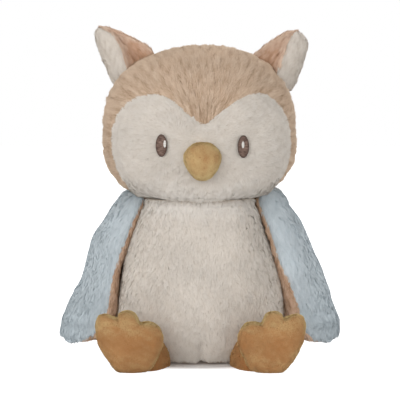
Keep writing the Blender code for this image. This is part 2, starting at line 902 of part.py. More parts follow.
def centre_over_origin(root):
    """Moves the whole toy along Y until the middle of its box is over the origin."""
    bpy.context.view_layer.update()
    depths = [
        (piece.matrix_world @ vert.co).y
        for piece in PARTS.objects
        if piece.type == "MESH"
        for vert in piece.data.vertices
    ]
    root["empty"].location.y = -(min(depths) + max(depths)) / 2
    bpy.context.view_layer.update()


def build_owl():
    clear_scene()
    trunk = trunk_form()
    head = head_form()
    root = pivot("trunk_root", Vector(), None)
    neck = pivot("neck_turn", Vector((0, 0, NECK_HEIGHT)), root)
    hang(build_trunk(trunk), root)

    eye = build_eye(head)
    hang([*build_head(head), *build_beak(head)], neck)
    hang([right_copy(piece) for piece in eye], neck)
    hang(eye, neck)

    joints = {"head_turn": (neck, Vector((0, 0, 1)))}
    for name, (place, axis, pieces), parent in (
        ("ear_{}_fold", build_ear(head), neck),
        ("wing_{}_lift", build_wing(trunk, head), root),
        ("leg_{}_swing", build_leg(trunk), root),
    ):
        other_side = [right_copy(piece) for piece in pieces]
        left = pivot(name.format("left"), place, parent)
        right_place = Vector((-place.x, place.y, place.z))
        right = pivot(name.format("right"), right_place, parent)
        hang(pieces, left)
        hang(other_side, right)
        joints[name.format("left")] = (left, axis)
        mirrored_axis = Vector((axis.x, -axis.y, -axis.z))
        joints[name.format("right")] = (right, mirrored_axis)

    discard(trunk, head)
    finish_surfaces()
    centre_over_origin(root)
    for name, (holder, axis) in joints.items():
        place = holder["empty"].matrix_world.translation
        print(name, [round(value, 5) for value in place], [round(value, 4) for value in axis])


build_owl()
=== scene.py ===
"""The looks of a seated plush owl: sewn panels with combed pile, stitched eyes, a padded beak and
velour feet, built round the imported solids.

Metres, +Z up. The owl looks along -Y, and its own left side is at +X. Every panel is a surface
worked out from a formula, and its pile is made of thin tapered locks that stand on it.
"""

import json

import bpy
import numpy as np
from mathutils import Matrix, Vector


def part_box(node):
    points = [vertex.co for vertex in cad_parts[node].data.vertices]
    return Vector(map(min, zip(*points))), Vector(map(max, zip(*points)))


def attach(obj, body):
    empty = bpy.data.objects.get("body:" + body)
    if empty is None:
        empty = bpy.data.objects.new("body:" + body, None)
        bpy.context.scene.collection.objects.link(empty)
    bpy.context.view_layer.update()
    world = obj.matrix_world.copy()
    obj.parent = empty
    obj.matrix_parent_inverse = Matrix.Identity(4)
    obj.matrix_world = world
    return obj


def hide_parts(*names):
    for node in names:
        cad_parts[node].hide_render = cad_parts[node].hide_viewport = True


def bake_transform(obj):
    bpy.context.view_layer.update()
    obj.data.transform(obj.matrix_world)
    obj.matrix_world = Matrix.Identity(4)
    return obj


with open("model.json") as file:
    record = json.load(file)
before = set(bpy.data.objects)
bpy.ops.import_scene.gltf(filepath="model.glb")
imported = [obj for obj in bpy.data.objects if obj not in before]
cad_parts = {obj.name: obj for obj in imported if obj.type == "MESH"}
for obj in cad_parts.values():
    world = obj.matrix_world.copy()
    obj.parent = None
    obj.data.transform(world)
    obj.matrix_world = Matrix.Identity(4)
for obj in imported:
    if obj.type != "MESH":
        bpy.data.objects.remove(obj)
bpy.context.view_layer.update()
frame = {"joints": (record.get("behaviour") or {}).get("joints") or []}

MM = 0.001
JOINTS = {joint["name"]: joint for joint in frame["joints"]}
NECK = np.array(JOINTS["head_turn"]["pos_m"])
AXIS_Y = NECK[1]
NECK_HEIGHT = NECK[2]
FLOOR_GAP = 0.15 * MM
SIGN = {"left": 1, "right": -1}
SIDE_SEED = {"left": 0, "right": 50}

# Outlines read from the front, in millimetres: across from the middle line, and up from the floor
MASK_OUTLINE = np.array(
    [
        (-49.0, 104.0), (-52.0, 124.0), (-55.4, 132.9), (-61.2, 143.9),
        (-64.3, 154.4), (-65.3, 165.5), (-63.8, 175.5), (-60.0, 184.2),
        (-53.6, 192.0), (-45.3, 197.0), (-34.5, 199.0), (-25.2, 197.6),
        (-17.4, 192.9), (-10.9, 186.8), (-4.3, 180.7), (1.2, 177.4),
        (4.4, 177.6), (10.6, 182.6), (16.4, 187.4), (24.4, 193.2),
        (33.4, 197.9), (42.0, 199.9), (49.0, 198.2), (55.4, 193.6),
        (60.6, 187.0), (64.2, 180.0), (66.4, 173.0), (67.3, 164.4),
        (66.6, 154.2), (64.0, 143.7), (59.6, 133.9), (55.5, 124.0),
        (52.0, 104.0),
    ]
)
MASK_PEAK = (2.8, 177.5)

# The trunk from the middle of its seat up into the head: height in mm, share of width, share of depth
TRUNK_WIDTH = 66.0
TRUNK_FRONT = 58.0
TRUNK_BACK = 50.0
TRUNK_ROUND = 2.25
TRUNK_PROFILE = (
    (0.2, 0.0, 0.0),
    (0.2, 0.40, 0.40),
    (0.3, 0.72, 0.71),
    (2.6, 0.85, 0.84),
    (10.5, 0.95, 0.945),
    (28.0, 1.0, 1.0),
    (42.0, 0.998, 1.0),
    (55.0, 0.97, 0.985),
    (70.0, 0.918, 0.94),
    (87.0, 0.84, 0.87),
    (103.0, 0.745, 0.79),
    (112.0, 0.69, 0.785),
    (118.0, 0.645, 0.79),
    (120.9, 0.63, 0.785),
    (121.5, 0.59, 0.75),
    (121.6, 0.0, 0.0),
)

# The head is a ball, squarer below its middle than above it
HEAD_MIDDLE = np.array([0.0, AXIS_Y, 0.172])
HEAD_HALF_WIDTH = 75.25 * MM
HEAD_FRONT = 60.0 * MM
HEAD_BACK = 56.0 * MM
HEAD_UP = 65.5 * MM
HEAD_DOWN = 55.0 * MM
HEAD_SEAM_Y = AXIS_Y + 4.0 * MM
HEAD_ROUND = 2.15
HEAD_UP_POWER = 2.3
HEAD_DOWN_POWER = 2.8
CHIN_FILL = 12 * MM


# ---- shapes


def smooth_curve(knots, at):
    """A smooth line through knots: cubic pieces, whose slope at a knot is that from its one
    neighbour to the other. The first number of a knot is its place on the line."""
    knots = np.asarray(knots, float)
    place, value = knots[:, 0], knots[:, 1:]
    slope = np.gradient(value, place, axis=0)
    at = np.clip(np.asarray(at, float), place[0], place[-1])
    left = np.clip(np.searchsorted(place, at, side="right") - 1, 0, len(place) - 2)
    step = place[left + 1] - place[left]
    share = ((at - place[left]) / step)[..., None]
    step = step[..., None]
    square, cube = share**2, share**3
    return (
        (2 * cube - 3 * square + 1) * value[left]
        + (cube - 2 * square + share) * step * slope[left]
        + (3 * square - 2 * cube) * value[left + 1]
        + (cube - square) * step * slope[left + 1]
    )


def by_length(knots, scales):
    """The knots with their distance along the line put in front, from 0 to 1."""
    knots = np.asarray(knots, float)
    steps = np.linalg.norm(np.diff(knots * scales, axis=0), axis=1)
    place = np.concatenate([[0], np.cumsum(np.maximum(steps, 1e-6))])
    return np.column_stack([place / place[-1], knots])


def signed_power(value, power):
    return np.sign(value) * np.abs(value) ** power


def ramp(value, low, high):
    """0 up to low, 1 from high on, and a smooth step between them."""
    share = np.clip((value - low) / (high - low), 0, 1)
    return share * share * (3 - 2 * share)


def bump(value, width):
    """1 where the value is 0, falling to nothing over about two widths to either side."""
    return np.exp(-((value / width) ** 2))


def unit(vectors):
    return vectors / np.maximum(np.linalg.norm(vectors, axis=-1, keepdims=True), 1e-12)

def angles(turns):
    """Evenly spaced angles all round, in radians."""
    return np.arange(turns) * 2 * np.pi / turns


def ringed(grid):
    """A closed grid with its first column again after its last one."""
    return np.concatenate([grid, grid[:, :1]], axis=1)


def on_faces(grid):
    """A value for each face of a closed grid, midway between two opposite corners."""
    closed = ringed(grid)
    return (closed[:-1, :-1] + closed[1:, 1:]) / 2


def wander(seed, wavelength, waves=22):
    """A smooth random number for each place: the sum of plane waves in random directions, of about
    the given wavelength. It runs from about -1 to 1."""
    rng = np.random.default_rng(seed)
    heading = unit(rng.normal(size=(waves, 3)))
    pace = heading * (2 * np.pi / (wavelength * rng.uniform(0.7, 1.6, (waves, 1))))
    phase = rng.uniform(0, 2 * np.pi, waves)

    def at(points):
        shape = points.shape[:-1]
        flat = points.reshape(-1, 3)
        total = np.sin(flat @ pace.T + phase).sum(axis=1) * (1.1 / np.sqrt(waves))
        return total.reshape(shape)

    return at


def normals_of(points):
    """The direction out of a closed grid of rows and turns: across the rows and turns at each point."""
    around = np.roll(points, -1, axis=1) - np.roll(points, 1, axis=1)
    along = np.gradient(points, axis=0)
    normal = np.cross(around, along)
    for pole, inside in ((0, 1), (-1, -2)):
        if np.ptp(points[pole], axis=0).max() < 1e-6:
            normal[pole] = unit(normal[inside]).mean(axis=0)
    return unit(normal)
def faces_in(points):
    """True for a grid whose turns run the wrong way round, so that its normals point inwards."""
    return ((points - points.mean(axis=(0, 1))) * normals_of(points)).sum() < 0


class Skin:
    """A closed grid of points in rows and turns, with the direction out of it at each point."""

    def __init__(self, points):
        self.points = points
        self.normals = normals_of(points)

    def moved(self, distance):
        """The skin pushed out by a distance, or in by a negative one."""
        distance = np.broadcast_to(distance, self.points.shape[:2])
        return Skin(self.points + self.normals * distance[..., None])

    def centres(self):
        closed = ringed(self.points)
        return (closed[:-1, :-1] + closed[1:, 1:] + closed[:-1, 1:] + closed[1:, :-1]) / 4


def ring_skin(profile, scales, half_width, front, back, roundness, rows, turns):
    """A form through rings. The profile is a smooth line of (place, share of width, share of depth).
    At an angle round the ring the point lies at cosine and sine of it, each to the power 2 over the
    roundness, times the ring's half width and its front or back depth."""
    line = smooth_curve(by_length(profile, scales), np.linspace(0, 1, rows))
    place, wide, deep = line.T
    wide, deep = np.maximum(wide, 0), np.maximum(deep, 0)
    angle = angles(turns)
    across = signed_power(np.cos(angle), 2 / roundness)
    along = signed_power(np.sin(angle), 2 / roundness)
    depth = np.where(along < 0, front, back) * along
    return np.stack(
        [
            wide[:, None] * half_width * across,
            deep[:, None] * depth,
            np.broadcast_to(place[:, None], (rows, turns)),
        ],
        axis=-1,
    )


def mirrored(points):
    """The same grid for the other side, with its turns reversed so that it still faces out."""
    return (points * np.array([-1.0, 1.0, 1.0]))[:, ::-1]


# ---- meshes


def add_object(name, mesh, material):
    obj = bpy.data.objects.new(name, mesh)
    bpy.context.scene.collection.objects.link(obj)
    mesh.materials.append(material)
    return obj
def new_mesh(name, points, corners, starts, uv):
    """A smooth mesh: its points, the point at each corner of its faces, the number of each face's
    first corner, and the place of each corner on the piece's own map."""
    mesh = bpy.data.meshes.new(name)
    mesh.vertices.add(len(points))
    mesh.vertices.foreach_set("co", points.astype(np.float32).ravel())
    mesh.loops.add(corners.size)
    mesh.loops.foreach_set("vertex_index", corners.astype(np.int32))
    mesh.polygons.add(starts.size)
    mesh.polygons.foreach_set("loop_start", starts.astype(np.int32))
    mesh.update(calc_edges=True)
    layer = mesh.uv_layers.new(name="OFBake")
    layer.data.foreach_set("uv", uv.astype(np.float32).ravel())
    mesh.shade_smooth()
    return mesh


def note(mesh, name, values):
    """Gives each point of a mesh a number that its material reads."""
    attribute = mesh.attributes.new(name, "FLOAT", "POINT")
    attribute.data.foreach_set("value", values.astype(np.float32).ravel())


def cloth(name, skin, keep, material, thickness=1.2 * MM):
    """A panel of cloth: the faces of the skin's grid that keep chooses, given a thickness inwards.
    Where a row is a single point, the faces beside it have three corners."""
    rows, turns = skin.points.shape[:2]
    index = np.arange(rows * turns).reshape(rows, turns)
    for pole in (0, -1):
        if np.ptp(skin.points[pole], axis=0).max() < 1e-6:
            index[pole] = index[pole, 0]
    closed = ringed(index)
    row, turn = np.nonzero(np.broadcast_to(keep, (rows - 1, turns)))
    places = [(row, turn), (row, turn + 1), (row + 1, turn + 1), (row + 1, turn)]
    faces = np.stack([closed[place] for place in places], axis=1)
    uv = np.stack([np.stack([c / turns, r / (rows - 1)], axis=1) for r, c in places], axis=1)
    used, compact = np.unique(faces, return_inverse=True)
    faces = compact.reshape(-1, 4)
    real = faces != np.roll(faces, 1, axis=1)
    count = real.sum(axis=1)
    starts = np.cumsum(count) - count
    mesh = new_mesh(name, skin.points.reshape(-1, 3)[used], faces[real], starts, uv[real])
    obj = add_object(name, mesh, material)
    if thickness:
        wall = obj.modifiers.new("wall", "SOLIDIFY")
        wall.thickness = thickness
        wall.offset = -1
    return obj


def roots_on(skin, per_square_mm, seed):
    """Where locks of pile stand on a skin: a random number of them on each face, by its area."""
    rng = np.random.default_rng(seed)
    rows, turns = skin.points.shape[:2]
    points = ringed(skin.points)
    normals = ringed(skin.normals)
    a, b, c, d = points[:-1, :-1], points[:-1, 1:], points[1:, 1:], points[1:, :-1]
    area = np.linalg.norm(np.cross(c - a, d - b), axis=-1).ravel() / 2
    total = np.cumsum(area)
    count = int(total[-1] * 1e6 * per_square_mm)
    face = np.searchsorted(total, rng.random(count) * total[-1])
    row, turn = np.divmod(np.minimum(face, area.size - 1), turns)
    down, right = rng.random((2, count, 1))

    def between(grid):
        top = grid[row, turn] * (1 - right) + grid[row, turn + 1] * right
        bottom = grid[row + 1, turn] * (1 - right) + grid[row + 1, turn + 1] * right
        return top * (1 - down) + bottom * down

    uv = np.column_stack([(turn + right[:, 0]) / turns, (row + down[:, 0]) / (rows - 1)])
    return {"at": between(points), "out": unit(between(normals)), "uv": uv}


def chosen(roots, keep):
    return {name: value[keep] for name, value in roots.items()}
def nearest(roots, grid):
    """The row and the turn of a grid that each root is nearest to."""
    row = np.rint(roots["uv"][:, 1] * (grid.shape[0] - 1)).astype(int)
    turn = np.rint(roots["uv"][:, 0] * grid.shape[1]).astype(int) % grid.shape[1]
    return row, turn


def pile(
    name,
    roots,
    lay,
    material,
    seed,
    length,
    rise,
    clump,
    width=0.5 * MM,
    streak=(1.0, 1.0, 0.35),
    clump_size=4.2 * MM,
    spread=9.0,
    shade=0.0,
    mottle=1.0,
):
    """Combed pile. Each root carries one lock: a strip of three points along its lay that rises from
    the cloth, bends over and ends in a tip. Smooth random fields push whole groups of tips to one side
    and up or down, so that the pile lies in clumps; the raised clumps are painted lighter as painted
    light and the tips pushed aside darker as painted shade, and each lock is painted darker at its
    root, as shade deep in the pile, and lighter at its tip. A lock's shading direction is mostly that
    of the cloth under it."""
    rng = np.random.default_rng(seed)
    at, out = roots["at"], roots["out"]
    count = len(at)
    length, shade = np.broadcast_to(length, count), np.broadcast_to(shade, count)
    lie = unit(lay - out * (lay * out).sum(axis=1, keepdims=True))
    side = np.cross(out, lie)
    yaw = np.radians(spread) * rng.normal(size=(count, 1))
    lie = lie * np.cos(yaw) + side * np.sin(yaw)
    side = np.cross(out, lie)
    place = at * np.asarray(streak) if np.shape(streak) == (3,) else streak
    drift = wander(seed + 1, clump_size)(place)
    drift += 0.5 * wander(seed + 2, clump_size * 0.45)(place)
    raised = wander(seed + 3, clump_size * 1.3)(place)
    reach = length * np.clip(1 + 0.14 * rng.normal(size=count) + 0.1 * raised, 0.5, 1.5)
    lift = rise * np.clip(1 + 0.3 * raised + 0.2 * rng.normal(size=count), 0.25, 1.9)
    reach, lift = reach[:, None], lift[:, None]
    sway = side * (drift * clump)[:, None]
    middle = at + reach * (0.46 * lie + 0.72 * lift * out) + 0.4 * sway
    tip = at + reach * (0.92 * lie + lift * out) + sway
    roll = np.radians(25) * rng.normal(size=(count, 1))
    half = (side * np.cos(roll) + out * np.sin(roll)) * (width / 2)
    half = half * rng.uniform(0.75, 1.3, (count, 1))
    points = np.stack(
        [at - half, at + half, middle - half * 0.9, middle + half * 0.9, tip], axis=1
    )
    points[..., 2] = np.maximum(points[..., 2], FLOOR_GAP)
    facing = unit(np.cross(tip - at, half))
    facing *= np.sign((facing * out).sum(axis=1, keepdims=True))
    facing = unit(0.9 * out + 0.18 * facing + 0.04 * rng.normal(size=(count, 3)))
    normals = np.repeat(facing[:, None], 5, axis=1)

    # Painted light and shade: raised clumps lighter, tips pushed aside darker, with random tone
    # besides; roots darker as shade deep in the pile, tips lighter.
    tone = 0.12 * raised - 0.07 * np.abs(drift) + 0.08 * rng.normal(size=count)
    tone = 0.52 + mottle * tone + shade
    tone = tone[:, None] + np.array([-0.14, -0.14, 0.0, 0.0, 0.1])
    uv = np.repeat(roots["uv"][:, None], 5, axis=1)
    uv = uv + np.array([(-1, -1), (1, -1), (-1, 0), (1, 0), (0, 1)]) * 0.0004
    corners = (np.arange(count)[:, None] * 5 + np.array([0, 2, 3, 1, 2, 4, 3])).ravel()
    starts = (np.arange(count)[:, None] * 7 + np.array([0, 4])).ravel()
    uv = uv.reshape(-1, 2)[corners]
    mesh = new_mesh(name, points.reshape(-1, 3), corners, starts, uv)
    note(mesh, "tone", np.clip(tone, 0, 1))
    mesh.normals_split_custom_set_from_vertices(normals.reshape(-1, 3))
    return add_object(name, mesh, material)


# ---- finishes


def screen(colour):
    """The light that a screen colour from 0 to 255 stands for."""
    share = np.array(colour) / 255
    linear = np.where(share <= 0.04045, share / 12.92, ((share + 0.055) / 1.055) ** 2.4)
    return (*linear.tolist(), 1.0)
def feed(tree, node, inputs):
    """Links each named input of a node to an output, or sets it to a plain value."""
    for name, value in inputs.items():
        if isinstance(value, bpy.types.NodeSocket):
            tree.links.new(value, node.inputs[name])
        else:
            node.inputs[name].default_value = value
    return node


def add_node(tree, kind, inputs):
    return feed(tree, tree.nodes.new(kind), inputs)


def new_material(name, roughness, sheen=0.0, sheen_colour=(255, 255, 255)):
    material = bpy.data.materials.new(name)
    material.use_nodes = True
    tree = material.node_tree
    inputs = {
        "Roughness": roughness,
        "Specular IOR Level": 0.15,
        "Sheen Weight": sheen,
        "Sheen Roughness": 0.5,
        "Sheen Tint": screen(sheen_colour),
    }
    return material, tree, feed(tree, tree.nodes["Principled BSDF"], inputs)


def noise(tree, scale, detail, stretch=None):
    """A noise pattern on the piece's own coordinates; the scale is in waves to the metre."""
    place = add_node(tree, "ShaderNodeTexCoord", {}).outputs["Object"]
    if stretch:
        mapping = add_node(tree, "ShaderNodeMapping", {"Vector": place, "Scale": stretch})
        place = mapping.outputs["Vector"]
    inputs = {"Vector": place, "Scale": scale, "Detail": detail}
    return add_node(tree, "ShaderNodeTexNoise", inputs).outputs["Fac"]


def noted(tree, name):
    """The number that a mesh gives each point under a name, or 0 where it has none."""
    node = tree.nodes.new("ShaderNodeAttribute")
    node.attribute_name = name
    return node.outputs["Fac"]


def colours(tree, factor, stops):
    """Colours along a factor: stops of (place, screen colour)."""
    node = add_node(tree, "ShaderNodeValToRGB", {"Fac": factor})
    band = node.color_ramp
    while len(band.elements) < len(stops):
        band.elements.new(0.5)
    for element, (place, colour) in zip(band.elements, stops):
        element.position = place
        element.color = screen(colour)
    return node.outputs["Color"]


def blended(tree, factor, first, second, kind="MIX"):
    """The first colour turned into the second, or multiplied by it, by a factor."""
    node = tree.nodes.new("ShaderNodeMix")
    node.data_type = "RGBA"
    node.blend_type = kind
    return feed(tree, node, {0: factor, 6: first, 7: second}).outputs[2]


def roughen(tree, shader, height, distance, strength):
    inputs = {"Distance": distance, "Strength": strength, "Height": height}
    node = add_node(tree, "ShaderNodeBump", inputs)
    feed(tree, shader, {"Normal": node.outputs["Normal"]})


def plush(name, deep, middle, tips):
    """Long pile: each lock runs from its deep colour at the root, painted shade deep in the pile, to
    its tips, by its own tone, which also carries painted light and shade on the clumps, and a soft
    cloudiness a few centimetres wide lies over the whole panel."""
    material, tree, shader = new_material(name, 0.95, sheen=0.25, sheen_colour=tips)
    lock = colours(tree, noted(tree, "tone"), ((0.0, deep), (0.45, middle), (1.0, tips)))
    cloud = colours(tree, noise(tree, 38, 2), ((0.3, (241, 241, 241)), (0.7, (255, 255, 255))))
    feed(tree, shader, {"Base Color": blended(tree, 1.0, lock, cloud, "MULTIPLY")})
    return material


def backing(name, colour, dark):
    """The knitted backing under the pile, seen only between the locks."""
    material, tree, shader = new_material(name, 0.95)
    fine = noise(tree, 900, 2)
    feed(tree, shader, {"Base Color": colours(tree, fine, ((0.3, dark), (0.7, colour)))})
    roughen(tree, shader, fine, 0.4 * MM, 0.5)
    return material


def velour():
    """Short brushed pile in mustard: mottled where it is rubbed one way or the other, with a fine
    grain, and painted dark brown in its creases as shade."""
    material, tree, shader = new_material("mustard_velour", 0.85, 0.6, (240, 214, 158))
    rubbed = ((0.25, (178, 126, 78)), (0.5, (190, 142, 92)), (0.75, (200, 154, 102)))
    base = colours(tree, noise(tree, 60, 3), rubbed)
    grain = noise(tree, 1500, 2)
    dark = colours(tree, grain, ((0.3, (232, 232, 232)), (0.65, (255, 255, 255))))
    worn = blended(tree, 1.0, base, dark, "MULTIPLY")
    # Painted shade: a dark brown mixed in where the foot marks its creases.
    deep = screen((112, 72, 38))
    feed(tree, shader, {"Base Color": blended(tree, noted(tree, "crease"), worn, deep)})
    roughen(tree, shader, grain, 0.5 * MM, 0.6)
    return material


def satin_stitch(name, deep, light, rim):
    """Satin stitching: fine threads side by side across the patch, darker at the patch's edge."""
    material, tree, shader = new_material(name, 0.55, 0.1)
    threads = noise(tree, 900, 2, stretch=(0.4, 0.4, 1.6))
    base = colours(tree, threads, ((0.38, deep), (0.62, light)))
    feed(tree, shader, {"Base Color": blended(tree, noted(tree, "edge"), base, screen(rim))})
    roughen(tree, shader, threads, 0.3 * MM, 0.6)
    return material


TAN_PILE = plush("tan_pile", (176, 145, 117), (217, 190, 164), (240, 219, 196))
EAR_PILE = plush("ear_pile", (164, 118, 88), (214, 172, 142), (240, 214, 192))
CREAM_PILE = plush("cream_pile", (214, 202, 188), (237, 228, 217), (248, 242, 234))
FACE_PILE = plush("face_pile_cloth", (210, 200, 187), (230, 221, 210), (244, 238, 230))
BLUE_PILE = plush("blue_pile", (188, 199, 205), (216, 226, 231), (235, 242, 246))
LINING_PILE = plush("lining_pile_cloth", (160, 124, 98), (214, 178, 149), (236, 208, 184))
MUSTARD_PILE = plush("mustard_nap", (184, 124, 74), (202, 152, 102), (232, 206, 150))
TAN_BACKING = backing("tan_backing", (196, 166, 142), (176, 146, 122))
CREAM_BACKING = backing("cream_backing", (226, 216, 204), (210, 199, 186))
BLUE_BACKING = backing("blue_backing", (212, 222, 228), (202, 212, 219))
LINING_BACKING = backing("lining_backing", (192, 158, 130), (174, 140, 114))
VELOUR = velour()
BROWN_THREAD = satin_stitch("brown_thread", (88, 68, 60), (138, 114, 102), (72, 55, 49))
WHITE_THREAD = satin_stitch("white_thread", (214, 209, 202), (240, 238, 234), (214, 209, 202))


# ---- forms of the trunk and the head


def trunk_skin(rows=150, turns=168):
    """The pear of the trunk, from the profile above, with a dart at the bottom of its front."""
    points = ring_skin(
        TRUNK_PROFILE,
        (1, TRUNK_WIDTH, TRUNK_FRONT),
        TRUNK_WIDTH,
        TRUNK_FRONT,
        TRUNK_BACK,
        TRUNK_ROUND,
        rows,
        turns,
    )
    points = points * MM + np.array([0, AXIS_Y, 0])
    skin = Skin(points)
    x, y, z = np.moveaxis(points, -1, 0)
    front = ramp(AXIS_Y - y, 20 * MM, 40 * MM)
    dart = bump(x - 1.1 * MM, 2.2 * MM) * front * (1 - ramp(z, 12 * MM, 26 * MM))
    low = ramp(z, 3 * MM, 20 * MM)
    swell = wander(11, 52 * MM)(points) * 0.9 * MM * low
    return skin.moved(swell - dart * 2.4 * MM)


def trunk_half(height):
    """The trunk's half width, front and back at a height, read off its profile."""
    line = smooth_curve(
        by_length(TRUNK_PROFILE, (1, TRUNK_WIDTH, TRUNK_FRONT)), np.linspace(0, 1, 400)
    )
    line = line[line[:, 0] > 0.25]
    wide = np.interp(height / MM, line[:, 0], line[:, 1]) * TRUNK_WIDTH * MM
    deep = np.interp(height / MM, line[:, 0], line[:, 2])
    return wide, deep * TRUNK_FRONT * MM, deep * TRUNK_BACK * MM


def seam_forward(height):
    """How far in front of the trunk's axis the belly's seam runs, at a height."""
    return np.interp(height / MM, (43, 70, 87, 103), (21, 14, 12, 9)) * MM


def clear_of_trunk(points, gap):
    """Points in the trunk, moved straight out from its axis until they keep the gap from it."""
    x, y, z = np.moveaxis(points - np.array([0, AXIS_Y, 0]), -1, 0)
    wide, front, back = trunk_half(z)
    wide, deep = np.maximum(wide, 1 * MM), np.maximum(np.where(y < 0, front, back), 1 * MM)
    ring = (np.abs(x) / (wide + gap)) ** TRUNK_ROUND + (np.abs(y) / (deep + gap)) ** TRUNK_ROUND
    grow = np.maximum(1, ring ** (-1 / TRUNK_ROUND))
    grow = np.where(z < NECK_HEIGHT, grow, 1)
    return np.stack([x * grow, y * grow + AXIS_Y, z], axis=-1)


def head_reach(heading):
    """How far the head's surface lies from its middle along unit headings. The surface is where the
    height's share to a power and the ring's share to the same power add up to 1; a ring's share is
    that of its width and depth, each to the power HEAD_ROUND."""
    x, y, z = np.abs(np.moveaxis(heading, -1, 0))
    forward = heading[..., 1] < 0
    upper = heading[..., 2] > 0
    deep = np.where(forward, HEAD_FRONT, HEAD_BACK)
    tall = np.where(upper, HEAD_UP, HEAD_DOWN)
    power = np.where(upper, HEAD_UP_POWER, HEAD_DOWN_POWER)
    ring = (x / HEAD_HALF_WIDTH) ** HEAD_ROUND + (y / deep) ** HEAD_ROUND
    ring = ring ** (1 / HEAD_ROUND)
    return ((z / tall) ** power + ring**power) ** (-1 / power)


def mask_distance(points):
    """How far a point on the head is inside the mask's seam, seen from the front: negative outside."""
    x, z = points[..., 0].ravel() / MM, points[..., 2].ravel() / MM
    spot = np.stack([x, z], axis=1)
    start, end = MASK_OUTLINE, np.roll(MASK_OUTLINE, -1, axis=0)
    inside = np.zeros(len(spot), bool)
    nearest = np.full(len(spot), np.inf)
    for a, b in zip(start, end):
        crosses = (a[1] > z) != (b[1] > z)
        edge = a[0] + (z - a[1]) * (b[0] - a[0]) / (b[1] - a[1] + 1e-9)
        inside ^= crosses & (x < edge)
        along = np.clip(((spot - a) @ (b - a)) / ((b - a) @ (b - a)), 0, 1)
        gap = np.linalg.norm(spot - a - along[:, None] * (b - a), axis=1)
        nearest = np.minimum(nearest, gap)
    distance = np.where(inside, nearest, -nearest) * MM
    distance = distance.reshape(points.shape[:-1])
    return np.where(points[..., 1] < HEAD_SEAM_Y, distance, -0.05)


def head_skin(rows=150, turns=220):
    """The head: headings from the top down and all round, each carried to the surface. The seams
    draw the surface in, the chin is filled out forwards, and the underside is flat where it sits on
    the trunk."""
    down = np.linspace(0, np.pi, rows)[:, None]
    angle = angles(turns)[None]
    heading = np.stack(
        [
            np.sin(down) * np.cos(angle),
            np.sin(down) * np.sin(angle),
            np.broadcast_to(np.cos(down), (rows, turns)),
        ],
        axis=-1,
    )
    points = HEAD_MIDDLE + heading * head_reach(heading)[..., None]
    aside = points - HEAD_MIDDLE
    off_axis = np.hypot(aside[..., 0], aside[..., 1])
    ahead = ramp(-aside[..., 1] / np.maximum(off_axis, 1 * MM), 0.35, 0.95)
    chin = (1 - ramp(points[..., 2], 118 * MM, 144 * MM)) * ahead
    points[..., 1] -= CHIN_FILL * chin * ramp(off_axis, 8 * MM, 34 * MM)
    soft = 0.9 * MM
    over = (points[..., 2] - NECK_HEIGHT - soft) / soft
    points[..., 2] = NECK_HEIGHT + soft * (np.logaddexp(0, over) + 0.2)
    points = points[::-1]
    skin = Skin(points)
    side_seam = bump(points[..., 1] - HEAD_SEAM_Y, 3.0 * MM)
    mask_seam = bump(mask_distance(points), 2.6 * MM)
    swell = wander(21, 60 * MM)(points) * 0.7 * MM
    return skin.moved(swell - side_seam * 0.9 * MM - mask_seam * 1.0 * MM)


def clear_of_head(points, gap):
    """Points in the head, moved away from its middle until they keep the gap from it."""
    away = points - HEAD_MIDDLE
    distance = np.linalg.norm(away, axis=-1, keepdims=True)
    reach = head_reach(unit(away))[..., None] + gap
    inside = (distance < reach) & (points[..., 2:] > NECK_HEIGHT - gap)
    return np.where(inside, HEAD_MIDDLE + unit(away) * reach, points)
def off_head(points):
    """How far points lie outside the head's plain form, on the line from its middle."""
    away = points - HEAD_MIDDLE
    return np.linalg.norm(away, axis=-1) - head_reach(unit(away))


def on_head(x, z, lift):
    """The point of the head's front at a place across and up, lifted forwards off it."""
    above = z > HEAD_MIDDLE[2]
    up = (z - HEAD_MIDDLE[2]) / np.where(above, HEAD_UP, HEAD_DOWN)
    power = np.where(above, HEAD_UP_POWER, HEAD_DOWN_POWER)
    ring = np.maximum(1 - np.abs(up) ** power, 0) ** (1 / power)
    across = np.minimum(np.abs(x) / (HEAD_HALF_WIDTH * ring), 1)
    deep = HEAD_FRONT * ring * (1 - across**HEAD_ROUND) ** (1 / HEAD_ROUND)
    return np.stack([x, AXIS_Y - deep - lift, z], axis=-1)


# ---- pieces of the trunk and the head


def stand_for(nodes):
    """Hides the imported solids that a piece stands for."""
    if nodes:
        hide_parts(*nodes)


def wear(piece, body, slot, *nodes, fill=None):
    """Puts a finished piece on its body."""
    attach(piece, body)
    stand_for(nodes)


